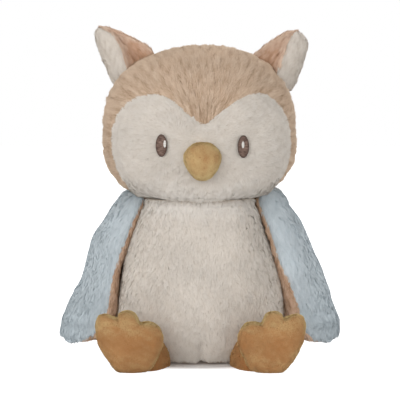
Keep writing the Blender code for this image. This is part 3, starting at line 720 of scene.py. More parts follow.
def dress_trunk():
    form = trunk_skin()
    z = form.points[..., 2]
    inset = 1.6 * ramp(z, 0.5 * MM, 8 * MM) * (1 - 0.5 * ramp(z, 92 * MM, 116 * MM)) + 0.2
    inset = inset * (1 - ramp(z, 118 * MM, 121 * MM)) + 0.05
    skin = form.moved(-inset * MM)
    middle = skin.centres()
    seat = middle[..., 2] < 3.2 * MM
    seam = middle[..., 1] < AXIS_Y - seam_forward(middle[..., 2])
    belly = cloth("belly", skin, seam & ~seat, CREAM_BACKING)
    back = cloth("back", skin, ~seam & ~seat, TAN_BACKING)
    base = cloth("base", skin, seat, TAN_BACKING)
    wear(belly, "trunk", "cream_plush", "belly_panel", "body_stuffing", fill=0.85)
    wear(back, "trunk", "tan_plush", "back_panel", fill=0.85)
    wear(base, "trunk", "tan_plush", "base_panel", "pellet_pouch")

    roots = roots_on(skin, 3.4, 101)
    y, z = roots["at"].T[1:]
    front = y < AXIS_Y - seam_forward(z)
    thinned = np.random.default_rng(102).random(len(z)) < np.where(front, 1, 0.58)
    keep = (z > 3.0 * MM) & (roots["out"][:, 2] < 0.75) & thinned
    roots, front = chosen(roots, keep), front[keep]
    for name, side, material, slot, seed, length, rise, clump, mottle in (
        ("belly_pile", front, CREAM_PILE, "cream_plush", 110, 3.8, 0.14, 0.3, 0.4),
        ("back_pile", ~front, TAN_PILE, "tan_plush", 120, 5.2, 0.2, 0.7, 1.0),
    ):
        own = chosen(roots, side)
        x, _, z = own["at"].T
        swirl = wander(seed + 9, 26 * MM)(own["at"])
        # Painted light: the pile is lighter towards the neck, against the shade under the chin.
        piece = pile(
            name,
            own,
            np.stack([x * 4 + 0.3 * swirl, 0 * x, -np.ones_like(x)], axis=1),
            material,
            seed,
            (length - 1.2 * bump(z, 14 * MM)) * MM,
            rise,
            clump * MM,
            streak=(1, 1, 0.5),
            shade=0.45 * ramp(z, 104 * MM, 119 * MM) - 0.03,
            mottle=mottle,
        )
        wear(piece, "trunk", slot)


def face_pile(own):
    """The short pile of the mask, combed out from its middle, and longer at the chin; at the chin and
    under it the pile is painted lighter, as painted light against the shade under the head.
    """
    x, _, z = own["at"].T
    swirl = wander(219, 24 * MM)(own["at"])
    chin = 1 - ramp(z, 0.124, 0.144)
    under = 1 - ramp(z, 0.1235, 0.130)
    across = x * (1 - 0.7 * chin) + 0.012 * swirl
    edge = bump(mask_distance(own["at"]), 5 * MM)
    return pile(
        "face_pile",
        own,
        np.stack([across, -0.06 * chin, z - 0.168 - 0.05 * chin], axis=1),
        FACE_PILE,
        210,
        (3.0 - 0.8 * edge * (1 - chin) + 0.4 * chin + 1.8 * under) * MM,
        rise=0.2 - 0.12 * under,
        clump=0.3 * MM,
        streak=(1, 1, 1),
        clump_size=5 * MM,
        # painted light at the chin and under it
        shade=0.3 * chin + 0.3 * under,
        mottle=0.6,
    )


def crown_pile(own):
    """The long pile of the crown, which fans out from the peak between the mask's lobes."""
    away = own["at"] - on_head(MASK_PEAK[0] * MM, MASK_PEAK[1] * MM, 0)
    fan = np.arctan2(away[:, 0], away[:, 2] + 0.02)
    far = np.linalg.norm(away, axis=1)
    near_seam = bump(mask_distance(own["at"]), 4 * MM)
    high = ramp(own["at"][:, 2], 0.205, 0.228)
    return pile(
        "crown_pile",
        own,
        away + np.array([0, 0, 0.012]),
        TAN_PILE,
        220,
        (5.6 - 2.4 * near_seam) * MM,
        rise=0.17,
        clump=(0.7 - 0.25 * high) * MM,
        streak=np.stack([fan * 0.050, far * 0.18, 0 * far], axis=1),
        clump_size=1.9 * MM,
        # painted shade: darker near the peak between the mask's lobes, and along the seam
        shade=-0.12 * bump(far, 17 * MM) - 0.05 * near_seam,
        mottle=1.05 - 0.4 * high,
    )


def head_back_pile(own):
    """The long pile behind, combed back and a little down."""
    x = own["at"][:, 0]
    lay = np.stack([0.5 * x, 0.05 + 0 * x, -0.1 + 0 * x], axis=1)
    return pile("head_back_pile", own, lay, TAN_PILE, 230, 5.2 * MM, rise=0.17, clump=0.5 * MM)


def dress_head():
    form = head_skin()
    inside = mask_distance(form.points)
    under = ramp(form.points[..., 2], NECK_HEIGHT + 1 * MM, NECK_HEIGHT + 16 * MM)
    inset = (3.0 - 0.9 * ramp(inside, -2 * MM, 2 * MM)) * (0.03 + 0.97 * under)
    skin = form.moved(-inset * MM)
    middle = skin.centres()
    mask = mask_distance(middle) > 0
    behind = middle[..., 1] > HEAD_SEAM_Y
    face = cloth("face", skin, mask, CREAM_BACKING)
    crown = cloth("crown", skin, ~mask & ~behind, TAN_BACKING)
    back = cloth("head_back", skin, ~mask & behind, TAN_BACKING)
    wear(face, "head", "cream_plush", "face_panel", "head_stuffing", fill=0.9)
    wear(crown, "head", "tan_plush", "crown_panel", fill=0.9)
    wear(back, "head", "tan_plush", "head_back_panel", fill=0.9)

    roots = roots_on(skin, 4.2, 201)
    behind = roots["at"][:, 1] > HEAD_SEAM_Y
    thinned = np.random.default_rng(202).random(len(behind)) < np.where(behind, 0.5, 1)
    roots = chosen(roots, (roots["at"][:, 2] > NECK_HEIGHT + 0.4 * MM) & thinned)
    behind = roots["at"][:, 1] > HEAD_SEAM_Y
    mask = mask_distance(roots["at"]) > 0
    wear(face_pile(chosen(roots, mask & eye_room(roots["at"]))), "head", "cream_plush")
    wear(crown_pile(chosen(roots, ~mask & ~behind)), "head", "tan_plush")
    wear(head_back_pile(chosen(roots, ~mask & behind)), "head", "tan_plush")


EYES = {"right": (-28.1 * MM, 162.3 * MM), "left": (31.6 * MM, 161.5 * MM)}
GLINTS = {"right": (2.5 * MM, 1.2 * MM), "left": (-0.3 * MM, 1.4 * MM)}
EYE_HALF = (4.2 * MM, 8.2 * MM)
PATCH_RINGS = 12
PATCH_TURNS = 40


def eye_room(points):
    """True where the pile isn't stitched down by an eye."""
    free = np.ones(len(points), bool)
    for x, z in EYES.values():
        across = (points[:, 0] - x) / EYE_HALF[0]
        up = (points[:, 2] - z) / EYE_HALF[1]
        free &= across**2 + up**2 > 0.9
    return free
def stitched_patch(name, x, z, half_width, half_height, lift, material):
    """A padded oval of thread on the face: rings out from its middle to its edge, each point on the
    head's surface, and lifted less towards the edge."""
    share = np.linspace(0, 1, PATCH_RINGS)[:, None]
    angle = angles(PATCH_TURNS)[None]
    across = x + half_width * share * np.cos(angle)
    up = z + half_height * share * np.sin(angle)
    height = lift * (1 - 0.75 * np.broadcast_to(share, across.shape) ** 4)
    points = on_head(across, up, height)
    skin = Skin(points)
    if skin.normals[PATCH_RINGS // 2, :, 1].mean() > 0:
        skin = Skin(points[:, ::-1])
    patch = cloth(name, skin, True, material, 0.8 * MM)
    edge = np.linspace(0, 1, PATCH_RINGS) ** 5
    note(patch.data, "edge", np.append(edge[:1], np.repeat(edge[1:], PATCH_TURNS)))
    return patch


def dress_eyes():
    for side, (x, z) in EYES.items():
        eye = stitched_patch("eye_stitch_" + side, x, z, *EYE_HALF, 0.5 * MM, BROWN_THREAD)
        wear(eye, "head", "brown_thread", "eye_" + side)
        right, up = GLINTS[side]
        glint = stitched_patch(
            "glint_stitch_" + side, x + right, z + up, 1.1 * MM, 2.8 * MM, 1.0 * MM, WHITE_THREAD
        )
        wear(glint, "head", "white_thread", "eye_glint_" + side)


BEAK_PROFILE = (
    (-14.3, 0.0, 0.0),
    (-14.0, 0.20, 0.30),
    (-12.6, 0.42, 0.54),
    (-9.0, 0.66, 0.78),
    (-4.0, 0.88, 0.94),
    (1.0, 0.99, 1.0),
    (4.5, 1.0, 0.98),
    (8.5, 0.86, 0.88),
    (11.8, 0.64, 0.68),
    (13.6, 0.42, 0.46),
    (14.3, 0.24, 0.28),
    (14.5, 0.0, 0.0),
)
BEAK_HALF = (13.3, 12.6, 6.0)
BEAK_PLACE = (1.8 * MM, 150.9 * MM)


def nap(name, skin, body, per_square_mm, seed, shade):
    """The nap of the velour: very short hairs that stand up all over a skin and soften its edges,
    brushed downwards. Hairs where the skin turns side-on to the front are painted paler, as a painted
    sheen along the outline."""
    roots = roots_on(skin, per_square_mm, seed)
    # Painted sheen: paler hairs where the skin turns side-on to the front.
    rim = 1 - np.abs(roots["out"][:, 1])
    lay = roots["out"] * 0 + np.array([0.2, 0.0, -1.0])
    rubbed = 0.06 * wander(seed + 5, 14 * MM)(roots["at"])
    piece = pile(
        name,
        roots,
        lay,
        MUSTARD_PILE,
        seed + 1,
        1.4 * MM,
        rise=0.26,
        clump=0.1 * MM,
        width=0.42 * MM,
        streak=(1, 1, 1),
        clump_size=4 * MM,
        spread=40,
        shade=0.65 * rim**3 + shade[nearest(roots, shade)] + rubbed,
        mottle=0.45,
    )
    wear(piece, body, "mustard_velour")


def dress_beak():
    """A small padded diamond with soft corners: rings from its tip to its top, set on the face."""
    points = ring_skin(BEAK_PROFILE, (1, BEAK_HALF[0], 14), *BEAK_HALF, 2.1, 60, 72) * MM
    points[..., 2] *= 0.95
    x, z = BEAK_PLACE
    centre = on_head(x, z, 0)
    form = Skin(points + centre)
    ahead = ramp(-points[..., 1], 4 * MM, 9 * MM)
    crease = bump(points[..., 0], 1.6 * MM) * ahead * (form.points[..., 2] < z)
    beak = cloth("beak", form.moved(-0.35 * MM * crease), True, VELOUR, 0)
    wear(beak, "head", "mustard_velour", "beak_cover", "beak_stuffing", fill=0.9)
    low = 1 - ramp(form.points[..., 2], z - 10 * MM, z + 2 * MM)
    nap("beak_nap", form, "head", 10.0, 270, 0.18 + 0.15 * low)


# ---- ears


# Each ear seen from the front, in millimetres: share of its length, then across and up of its edge
# by the crown, of its edge by the cheek and of the ridge between, and how far the ridge stands forward
EAR_OUTLINE = {
    "right": (
        (0.00, 33.5, 228.5, 63.0, 203.0, 51.0, 211.0, 13),
        (0.22, 38.5, 233.8, 66.5, 208.6, 54.4, 217.6, 12),
        (0.50, 47.6, 239.4, 72.8, 223.4, 57.4, 230.0, 9),
        (0.75, 57.0, 244.2, 78.0, 236.6, 62.8, 240.2, 6),
        (0.88, 62.8, 246.8, 79.3, 243.0, 68.6, 244.8, 4.5),
        (1.00, 69.0, 249.8, 81.4, 247.6, 74.0, 248.6, 3),
    ),
    "left": (
        (0.00, 36.5, 226.5, 66.0, 199.5, 55.5, 208.5, 13),
        (0.22, 42.4, 230.0, 70.8, 204.8, 58.6, 217.0, 12),
        (0.50, 49.3, 235.4, 77.4, 221.0, 62.4, 226.8, 9),
        (0.72, 55.6, 239.8, 81.2, 232.6, 65.0, 235.2, 6.5),
        (0.86, 59.6, 243.8, 82.6, 238.2, 67.8, 240.6, 5),
        (1.00, 62.4, 248.4, 84.0, 243.4, 70.6, 245.6, 3.5),
    ),
}
# The share of an ear's length from which its tip closes as a round
EAR_TIP = {"right": 0.86, "left": 0.72}
EAR_BACK = 5.5
EAR_LEAN = 0.10 * 34


def ear_skin(side, rows=70, turns=96):
    """An ear as rings from its root to its tip. Seen from above a ring is a folded leaf: a hollow
    side from the crown's edge to the ridge, and a full side from the ridge to the cheek's edge. The
    other results say how far each point is to the cheek's side of the ridge, and how deep in the
    hollow it lies."""
    share = np.sin(np.linspace(0, np.pi / 2, rows))
    line = smooth_curve(EAR_OUTLINE[side], share)
    crown, cheek, ridge = line[:, None, 0:2], line[:, None, 2:4], line[:, None, 4:6]
    forward = line[:, 6:7]
    share = share[:, None]
    turn = np.arange(turns)[None] / turns
    over = (1 - np.cos(2 * np.pi * turn)) / 2
    front = turn < 0.5
    chord = cheek - crown
    fold = ((ridge - crown) * chord).sum(-1) / (chord**2).sum(-1)
    flat = crown + chord * over[..., None]
    bow = (ridge - crown - chord * fold[..., None]) * bump(over - fold, 0.3)[..., None]
    flat = flat + np.where(front[..., None], bow, 0)
    before = np.clip(over / fold, 0, 1)
    after = np.clip((over - fold) / (1 - fold), 0, 1)
    rise = before**1.7 * np.cos(np.pi / 2 * after) ** 0.8
    hollow = np.sin(np.pi * before) * (over < fold) * front * np.minimum(1, (1 - share) * 5)
    leaf = np.clip(4 * over * (1 - over), 0, 1)
    tip = np.clip((share - EAR_TIP[side]) / (1 - EAR_TIP[side]), 0, 1)
    full = np.sqrt(1 - tip**2) * (share < 1)
    ahead = 2.2 * np.sqrt(leaf) + forward * rise - 3.2 * hollow
    y = np.where(front, -ahead, EAR_BACK * leaf**0.6) * full
    middle = flat.mean(axis=1, keepdims=True)
    flat = middle + (flat - middle) * full[..., None]
    points = np.stack([flat[..., 0], y + EAR_LEAN * share, flat[..., 1]], axis=-1) * MM
    points[..., 1] += JOINTS["ear_left_fold"]["pos_m"][1]
    beyond_ridge = np.where(front, over - fold, over - 0.5)
    grids = [points, beyond_ridge, np.broadcast_to(hollow, beyond_ridge.shape)]
    if faces_in(points):
        grids = [grid[:, ::-1] for grid in grids]
    if side == "right":
        grids = [mirrored(grids[0]), grids[1][:, ::-1], grids[2][:, ::-1]]
    return grids


def dress_ear(side):
    """An ear with a tan side towards the brow, hollowed like a cup, and a full cream side."""
    body = "ear_" + side
    points, beyond, hollow = ear_skin(side)
    skin = Skin(points).moved(-0.5 * MM * bump(beyond, 0.05))
    middle = on_faces(beyond)
    inner_cloth = cloth("ear_brow_side_" + side, skin, middle <= 0, TAN_BACKING, 0.8 * MM)
    outer_cloth = cloth("ear_cheek_side_" + side, skin, middle > 0, CREAM_BACKING, 0.8 * MM)
    wear(inner_cloth, body, "tan_plush", "ear_inner_" + side, "ear_filling_" + side, fill=0.4)
    wear(outer_cloth, body, "cream_plush", "ear_outer_" + side, fill=0.4)

    roots = roots_on(skin, 5.0, 300 + SIDE_SEED[side])
    roots = chosen(roots, off_head(roots["at"]) > -2 * MM)
    row, turn = nearest(roots, beyond)
    is_outer, sunk = beyond[row, turn] > 0, hollow[row, turn]
    near_ridge = bump(beyond[row, turn], 0.06)
    along = row / len(beyond)
    low = 1 - ramp(along, 0.1, 0.6)
    short = 1 - 0.65 * ramp(along, 0.88, 1)
    lay = skin.points[np.minimum(row + 3, len(beyond) - 1), turn]
    lay = lay - skin.points[np.maximum(row - 3, 0), turn]
    # Brow side: painted shade down in the hollow, deepest near the root, and lighter along the ridge
    # for the pale piping of the seam.
    cup = 0.38 - 0.5 * sunk * (0.1 + 0.9 * low) + 0.25 * near_ridge
    even = np.full_like(cup, -0.2)
    for name, keep, material, slot, seed, length, shade, mottle in (
        ("ear_brow_pile_", ~is_outer, EAR_PILE, "tan_plush", 310, 4.4, cup, 0.9),
        ("ear_cheek_pile_", is_outer, CREAM_PILE, "cream_plush", 330, 3.2, even, 0.7),
    ):
        piece = pile(
            name + side,
            chosen(roots, keep),
            lay[keep],
            material,
            seed + SIDE_SEED[side],
            length * short[keep] * MM,
            rise=0.2,
            clump=0.4 * MM,
            streak=(1, 1, 0.5),
            clump_size=3.2 * MM,
            shade=shade[keep],
            mottle=mottle,
        )
        wear(piece, body, slot)


# ---- wings


# Each wing seen from the front, in millimetres: height, its inner and its outer edge across from the
# middle line, and how much of the inner edge is lining
WING_OUTLINE = {
    "right": (
        (9.5, 88.0, 107.0, 5.0),
        (14.0, 78.0, 109.0, 10.0),
        (24.0, 67.0, 107.4, 8.0),
        (36.0, 61.5, 102.8, 8.0),
        (43.0, 61.2, 99.8, 7.5),
        (49.0, 61.3, 96.8, 6.5),
        (55.0, 61.0, 93.6, 6.0),
        (67.0, 59.5, 90.0, 5.5),
        (79.0, 55.0, 86.8, 4.6),
        (91.0, 50.2, 82.8, 4.4),
        (103.0, 45.6, 75.2, 4.8),
        (115.0, 41.5, 67.0, 3.2),
        (121.0, 38.5, 61.5, 4.0),
        (127.0, 40.5, 55.0, 3.0),
    ),
    "left": (
        (9.5, 86.0, 106.6, 5.0),
        (14.0, 77.0, 108.4, 10.0),
        (24.0, 67.5, 108.4, 10.0),
        (36.0, 64.0, 104.6, 11.0),
        (43.0, 62.8, 102.2, 10.5),
        (49.0, 61.4, 100.4, 9.0),
        (58.0, 59.2, 96.6, 7.6),
        (67.0, 57.0, 93.4, 5.6),
        (76.0, 53.4, 89.6, 4.8),
        (91.0, 47.8, 83.6, 4.4),
        (103.0, 43.8, 77.2, 5.0),
        (115.0, 40.8, 68.6, 3.4),
        (121.0, 38.5, 65.6, 4.0),
        (127.0, 40.5, 60.0, 3.0),
        (129.5, 43.0, 57.0, 2.0),
    ),
}
# By height: half the wing's depth from front to back in mm, how many degrees it is turned to the
# front, and how far its middle lies behind the trunk's axis in mm
WING_DEPTHS = (
    (9.5, 17, 34, 3),
    (15.0, 26, 34, 3),
    (30.0, 31.5, 34, 2.5),
    (43.0, 32, 31, 2.5),
    (55.0, 31.5, 27, 3),
    (75.0, 30.5, 25, 4),
    (97.0, 27, 24, 6),
    (112.0, 23, 24, 7),
    (121.0, 19, 24, 7),
    (127.0, 15, 24, 7),
    (129.5, 12, 24, 7),
)
WING_ROUND = 2.2


def wing_skin(side, rows=130, turns=120):
    """A wing as level rings from its tip up to the cheek. Each ring is a long rounded shape, turned
    to the front, whose edges seen from the front are those of the outline above; both ends close.
    The second result says how far each point is outside the seam of the wing's two sides."""
    outline = np.array(WING_OUTLINE[side], float)
    low, high = outline[0, 0] - 1.5, outline[-1, 0] + 1.0
    share = np.linspace(0, 1, rows)
    z = low + (high - low) * (1 - np.cos(np.pi * share)) / 2
    inner, outer, strip = smooth_curve(outline, z).T
    deep, turn, back = smooth_curve(WING_DEPTHS, z).T
    closing = ramp(z, low, low + 5.5) ** 0.5 * (1 - ramp(z, high - 4, high)) ** 0.5
    turn = np.radians(turn)
    half = (outer - inner) / 2
    thick = np.sqrt(np.maximum(half**2 - (deep * np.sin(turn)) ** 2, 30)) / np.cos(turn)
    thick = thick * (0.35 + 0.65 * closing) * np.sign(closing)
    thick = thick * np.minimum(closing * 3, 1)
    bulge = signed_power(np.cos(angles(turns)), 2 / WING_ROUND)[None] * thick[:, None]
    along = signed_power(np.sin(angles(turns)), 2 / WING_ROUND)[None] * (deep * closing)[:, None]
    sine, cosine = np.sin(turn)[:, None], np.cos(turn)[:, None]
    x = (inner + outer)[:, None] / 2 + bulge * cosine + along * sine
    y = back[:, None] - bulge * sine + along * cosine
    edge = x - (inner + strip)[:, None]
    behind = bulge + 2.5 + 0.08 * along
    outside = np.minimum(edge, behind)
    points = np.stack([x, y, np.broadcast_to(z[:, None], x.shape)], axis=-1) * MM
    points = points + np.array([0, AXIS_Y, 0])
    if side == "right":
        points, outside = mirrored(points), outside[:, ::-1]
    return points, outside


def hang(piece, side, slot, *nodes, fill=None):
    """Bakes a finished wing piece's place into its mesh and hides the solids that it stands for."""
    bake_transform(piece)
    stand_for(nodes)


def wing_pile(side, own, beyond):
    """The blue pile, which lies close and stands off only near the seam."""
    edge = bump(beyond, 8.0)
    low = 1 - ramp(own["at"][:, 2], 24 * MM, 62 * MM)
    # The blue pile is painted darker towards the wing's bottom, as painted shade.
    return wing_locks(
        "wing_top_pile_" + side,
        side,
        own,
        BLUE_PILE,
        410,
        4.0,
        rise=0.05 + 0.12 * edge,
        clump=(0.15 + 0.6 * edge) * MM,
        spread=6,
        shade=-0.22 * low,
        mottle=0.35 + 0.9 * edge,
    )


def lining_pile(side, own):
    """The tan pile towards the trunk."""
    return wing_locks(
        "wing_underside_pile_" + side,
        side,
        own,
        LINING_PILE,
        430,
        3.2,
        rise=0.25,
        clump=0.5 * MM,
        shade=0.08,
        mottle=1.2,
    )


def wing_locks(name, side, own, material, seed, length, **look):
    """Pile of a wing, combed down and a little out, and shorter at the tip."""
    swirl = wander(seed + 7, 30 * MM)(own["at"])
    across = 0.25 * SIGN[side] + 0.12 * swirl
    lay = np.stack([across, 0.05 + 0 * swirl, -1 + 0 * swirl], axis=1)
    short = 1 - 0.35 * ramp(20 * MM - own["at"][:, 2], 0, 12 * MM)
    seed = seed + SIDE_SEED[side]
    length = length * short * MM
    look.update(streak=(1, 1, 0.5), clump_size=3.4 * MM)
    return pile(name, own, lay, material, seed, length, **look)


def dress_wing(side):
    """A wing: a blue outer side and a tan lining, laid against the trunk and tucked under the
    cheek."""
    points, outside = wing_skin(side)
    form = Skin(points)
    skin = form.moved(-1.4 * MM - 0.7 * MM * bump(outside, 1.6))
    points = clear_of_head(clear_of_trunk(skin.points, 0.1 * MM), 0.6 * MM)
    swell = wander({"left": 31, "right": 37}[side], 34 * MM)(points) * 0.5 * MM
    points = points + form.normals * (swell * ramp(outside, -2, 4))[..., None]
    points[..., 2] = np.maximum(points[..., 2], FLOOR_GAP)
    skin = Skin(points)
    middle = on_faces(outside)
    outer_cloth = cloth("wing_top_" + side, skin, middle > 0, BLUE_BACKING)
    lining = cloth("wing_underside_" + side, skin, middle <= 0, LINING_BACKING)
    solids = ("wing_outer_" + side, "wing_filling_" + side)
    hang(outer_cloth, side, "blue_plush", *solids, fill=0.45)
    hang(lining, side, "tan_plush", "wing_lining_" + side, fill=0.45)

    roots = roots_on(skin, 4.2, 400 + SIDE_SEED[side])
    beyond = outside[nearest(roots, outside)]
    is_outer = beyond > 0
    at = roots["at"]
    free = np.linalg.norm(clear_of_trunk(at, 0.0) - at, axis=1) < 1e-5
    free &= is_outer | (np.random.default_rng(403).random(len(at)) < 0.72)
    free &= off_head(at) > 0.4 * MM
    keep = is_outer & free
    hang(wing_pile(side, chosen(roots, keep), beyond[keep]), side, "blue_plush")
    hang(lining_pile(side, chosen(roots, ~is_outer & free)), side, "tan_plush")


# ---- legs and feet


# Round the foot's edge, seen from the front on the owl's right foot: angle, distance in mm
FOOT_EDGE = (
    (-180, 23.4), (-155.6, 21.2), (-133, 22.0), (-110.8, 23.4), (-80.3, 22.9),
    (-53.9, 24.6), (-33, 22.8), (-15.9, 22.9), (-0.5, 23.3), (12.9, 23.5),
    (26.6, 22.7), (40.4, 20.2), (52.9, 16.4), (61.3, 13.8), (71.1, 15.8),
    (80.3, 19.4), (94.3, 21.5), (111.2, 21.2), (120.6, 19.4), (127, 22.6),
    (132.8, 26.4), (140, 28.8), (149, 28.4), (163.8, 25.4), (180, 23.4),
)
FOOT_X = {"right": -50.0 * MM, "left": 50.6 * MM}
FOOT_HEIGHT = 22.6 * MM
FOOT_RADIUS = 24.0
FOOT_HALF_DEPTH = 11.6
# The creases between the toes: the angle, how deep each is in mm, and the share of the way out from
# the pad's middle where it begins
TOE_CREASES = ((61.3, 2.2, 0.45), (120.6, 1.6, 0.62))


def from_angle(degrees, angle):
    """Degrees as counted from an angle, from -180 to 180."""
    return (degrees - angle + 180) % 360 - 180


def foot_skin(side, rows=80, turns=180):
    """A padded foot: its edge is the outline above, which fades to a round towards the middle of the
    pad, so that the toes' creases run in from the edge and die away. From front to back the pad swells
    as a rounded disc. The second result is how deep in a crease each point lies; it sets the painted
    shade in the creases."""
    down = np.linspace(0, np.pi, rows)[:, None]
    angle = angles(turns)[None]
    share = np.sin(down) ** (2 / 2.5)
    depth = signed_power(np.cos(down), 2 / 2.3)
    degrees = np.degrees(angle)
    edge = smooth_curve(FOOT_EDGE, from_angle(degrees[0], 0))[:, 0][None]
    reach = share * (FOOT_RADIUS + (edge - FOOT_RADIUS) * share**2.2)
    crease = np.zeros_like(reach)
    crease_shade = np.zeros_like(reach)
    for notch, deep, start in TOE_CREASES:
        across = np.radians(from_angle(degrees, notch)) * reach
        crease = crease + deep * bump(across, 2.0) * ramp(share, start, 0.95)
        # A narrow band in each crease, which is painted darker as shade on the foot.
        crease_shade = crease_shade + bump(across, 1.1) * ramp(share, start, 0.95)
    y = -depth * (FOOT_HALF_DEPTH - crease * np.abs(depth) ** 0.5)
    x = reach * np.cos(angle) * -SIGN[side]
    points = np.stack([x, y, reach * np.sin(angle)], axis=-1) * MM
    return points, crease_shade


def stub_skin(side, rows=60, turns=96):
    """A leg's stub: a rounded block that runs forwards and slants outwards from the trunk."""
    low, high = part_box("leg_cover_" + side)
    back, front = high[1] + 5 * MM, low[1] + 1 * MM
    down = np.linspace(0, np.pi, rows)[:, None]
    angle = angles(turns)[None]
    ring = np.sin(down) ** (2 / 4)
    ahead = signed_power(np.cos(down), 2 / 3)
    x = SIGN[side] * (40 + 6 * ahead) * MM + 15 * MM * ring * np.cos(angle)
    y = np.broadcast_to((back + front) / 2 - (back - front) / 2 * ahead, x.shape)
    z = 3 * MM + 20 * MM * ring * np.sin(angle)
    points = np.stack([x, y, np.maximum(z, FLOOR_GAP)], axis=-1)
    return Skin(points[:, ::-1] if faces_in(points) else points)


def dress_leg(side):
    """A foot with toes, and the short stub that joins it to the trunk."""
    body = "leg_" + side
    boxes = np.array([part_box("foot_sole_" + side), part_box("foot_upper_" + side)])
    centre_y = (boxes[..., 1].min() + boxes[..., 1].max()) / 2
    points, crease_shade = foot_skin(side)
    points = points + np.array([FOOT_X[side], centre_y, FOOT_HEIGHT])
    points[..., 2] = np.maximum(points[..., 2], FLOOR_GAP)
    if faces_in(points):
        points, crease_shade = points[:, ::-1], crease_shade[:, ::-1]
    swell = wander(51 + SIGN[side], 16 * MM)(points) * 0.35 * MM
    skin = Skin(points).moved(swell)
    high = skin.points[..., 2]
    # Painted light and shade on the foot's nap: lighter towards the tops of the toes as painted light,
    # darker across the middle of the pad, and painted shade in the toes' creases.
    shading_and_tone = 0.14 * ramp(high, 22 * MM, 40 * MM) - 0.18 * bump(high - 22 * MM, 8 * MM)
    shading_and_tone = shading_and_tone - 0.2 * np.clip(crease_shade, 0, 1) - 0.01
    foot = cloth("foot_" + side, skin, True, VELOUR, 0)
    # The same painted crease shade goes to the velour, which mixes in a dark brown by it.
    shown = np.concatenate([crease_shade[0, :1], crease_shade[1:-1].ravel(), crease_shade[-1, :1]])
    note(foot.data, "crease", 0.4 * np.clip(shown, 0, 1))
    solids = ["foot_" + part + side for part in ("sole_", "upper_", "stuffing_")]
    wear(foot, body, "mustard_velour", *solids, fill=0.8)
    nap("foot_nap_" + side, skin, body, 6.5, 280 + SIGN[side], shading_and_tone)

    skin = stub_skin(side)
    # The stub sits under the belly: its nap is painted darker all over, as painted shade.
    dark = np.full(skin.points.shape[:2], -0.42)
    nap("leg_nap_" + side, skin, body, 3.6, 290 + SIGN[side], dark)
    leg = cloth("leg_stub_" + side, skin, True, VELOUR, 0)
    solids = ("leg_cover_" + side, "leg_stuffing_" + side)
    wear(leg, body, "mustard_velour", *solids, fill=0.7)


# ---- the picture


CAMERA_TILT = np.radians(4)
CAMERA_AWAY = 1.35
FRAME_HEIGHT = 0.304
AIM_HEIGHT = 0.11875
WHITE = (1, 1, 1, 1)
EVEN_LIGHT = 0.57
FLOOR_HALF = 4.0
GLOW_GAP = (0.09, 0.088)
# Name, place in metres, width in metres and watts
LAMPS = (
    ("key", (-0.8, -1.3, 0.6), 1.0, 8.5),
    ("fill", (0.9, -1.4, 0.15), 1.1, 6.0),
    ("top", (0.1, 0.5, 1.3), 1.0, 2.0),
    ("rear", (0.7, 1.4, 0.7), 1.2, 6.0),
)


def set_camera():
    """A little above level, with the frame's height measured at the trunk's axis."""
    data = bpy.data.cameras.new("camera")
    camera = bpy.data.objects.new("camera", data)
    bpy.context.scene.collection.objects.link(camera)
    data.sensor_width = 36
    data.lens = 36 * CAMERA_AWAY / FRAME_HEIGHT
    data.clip_start = 0.05
    target = np.array([0, AXIS_Y, AIM_HEIGHT])
    away = np.array([0, -np.cos(CAMERA_TILT), np.sin(CAMERA_TILT)])
    camera.location = target + CAMERA_AWAY * away
    camera.rotation_euler = (np.radians(90) - CAMERA_TILT, 0, 0)
    bpy.context.scene.camera = camera


def shown_rays(tree):
    """1 for what the camera sees, also through gloss or glass."""
    path = tree.nodes.new("ShaderNodeLightPath")
    total = path.outputs["Is Camera Ray"]
    for name in ("Is Glossy Ray", "Is Transmission Ray"):
        either = add_node(tree, "ShaderNodeMath", {0: total, 1: path.outputs[name]})
        either.operation = "MAXIMUM"
        total = either.outputs[0]
    return total


def floor_glow(tree):
    """How brightly the floor shines by itself: not under the owl, so that its shadow shows there."""
    wide, deep = GLOW_GAP
    inputs = {
        "Vector": add_node(tree, "ShaderNodeTexCoord", {}).outputs["Object"],
        "Location": (0, -AXIS_Y / deep, 0),
        "Scale": (1 / wide, 1 / deep, 1),
    }
    place = add_node(tree, "ShaderNodeMapping", inputs).outputs["Vector"]
    ball = add_node(tree, "ShaderNodeTexGradient", {"Vector": place})
    ball.gradient_type = "SPHERICAL"
    return colours(tree, ball.outputs["Fac"], ((0.16, (243, 243, 243)), (0.34, (70, 62, 56))))


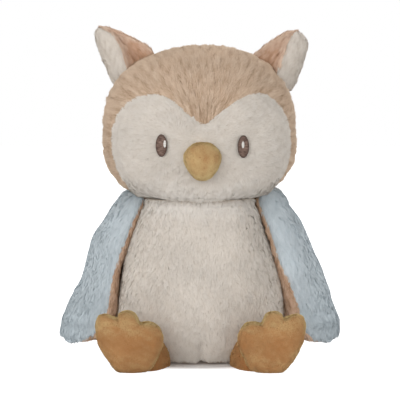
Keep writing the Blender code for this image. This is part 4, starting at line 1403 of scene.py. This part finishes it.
def set_surroundings():
    """A white room: even light all round, and a white floor that keeps the owl's shadow."""
    world = bpy.data.worlds.new("studio")
    bpy.context.scene.world = world
    world.use_nodes = True
    tree = world.node_tree
    light = feed(tree, tree.nodes["Background"], {"Color": WHITE, "Strength": EVEN_LIGHT})
    white = add_node(tree, "ShaderNodeBackground", {"Color": WHITE, "Strength": 1.0})
    inputs = {0: shown_rays(tree), 1: light.outputs[0], 2: white.outputs[0]}
    mix = add_node(tree, "ShaderNodeMixShader", inputs)
    feed(tree, tree.nodes["World Output"], {"Surface": mix.outputs[0]})

    mesh = bpy.data.meshes.new("floor")
    corners = [(x * FLOOR_HALF, y * FLOOR_HALF, 0) for x, y in ((-1, -1), (1, -1), (1, 1), (-1, 1))]
    mesh.from_pydata(corners, [], [(0, 1, 2, 3)])
    material = bpy.data.materials.new("white_floor")
    material.use_nodes = True
    tree = material.node_tree
    inputs = {"Base Color": (0.8, 0.8, 0.8, 1), "Roughness": 1.0, "Specular IOR Level": 0.0}
    shader = feed(tree, tree.nodes["Principled BSDF"], inputs)
    inputs = {"Strength": shown_rays(tree), "Color": floor_glow(tree)}
    glow = add_node(tree, "ShaderNodeEmission", inputs)
    both = add_node(tree, "ShaderNodeAddShader", {0: shader.outputs[0], 1: glow.outputs[0]})
    feed(tree, tree.nodes["Material Output"], {"Surface": both.outputs[0]})
    add_object("floor", mesh, material)


def add_lamp(name, place, size, watts):
    """A square soft lamp that looks at the owl's middle."""
    data = bpy.data.lights.new(name, "AREA")
    data.shape = "SQUARE"
    data.size = size
    data.energy = watts
    lamp = bpy.data.objects.new(name, data)
    bpy.context.scene.collection.objects.link(lamp)
    lamp.location = place
    aim = np.array([0, AXIS_Y, 0.12]) - np.array(place)
    lamp.rotation_euler = (
        np.arctan2(np.hypot(aim[0], aim[1]), -aim[2]),
        0,
        np.arctan2(aim[1], aim[0]) - np.pi / 2,
    )
def build():
    bpy.context.scene.view_settings.view_transform = "Standard"
    set_camera()
    set_surroundings()
    for lamp in LAMPS:
        add_lamp(*lamp)
    dress_trunk()
    dress_head()
    dress_eyes()
    dress_beak()
    for side in ("left", "right"):
        dress_ear(side)
        dress_wing(side)
        dress_leg(side)


build()
bpy.context.view_layer.update()
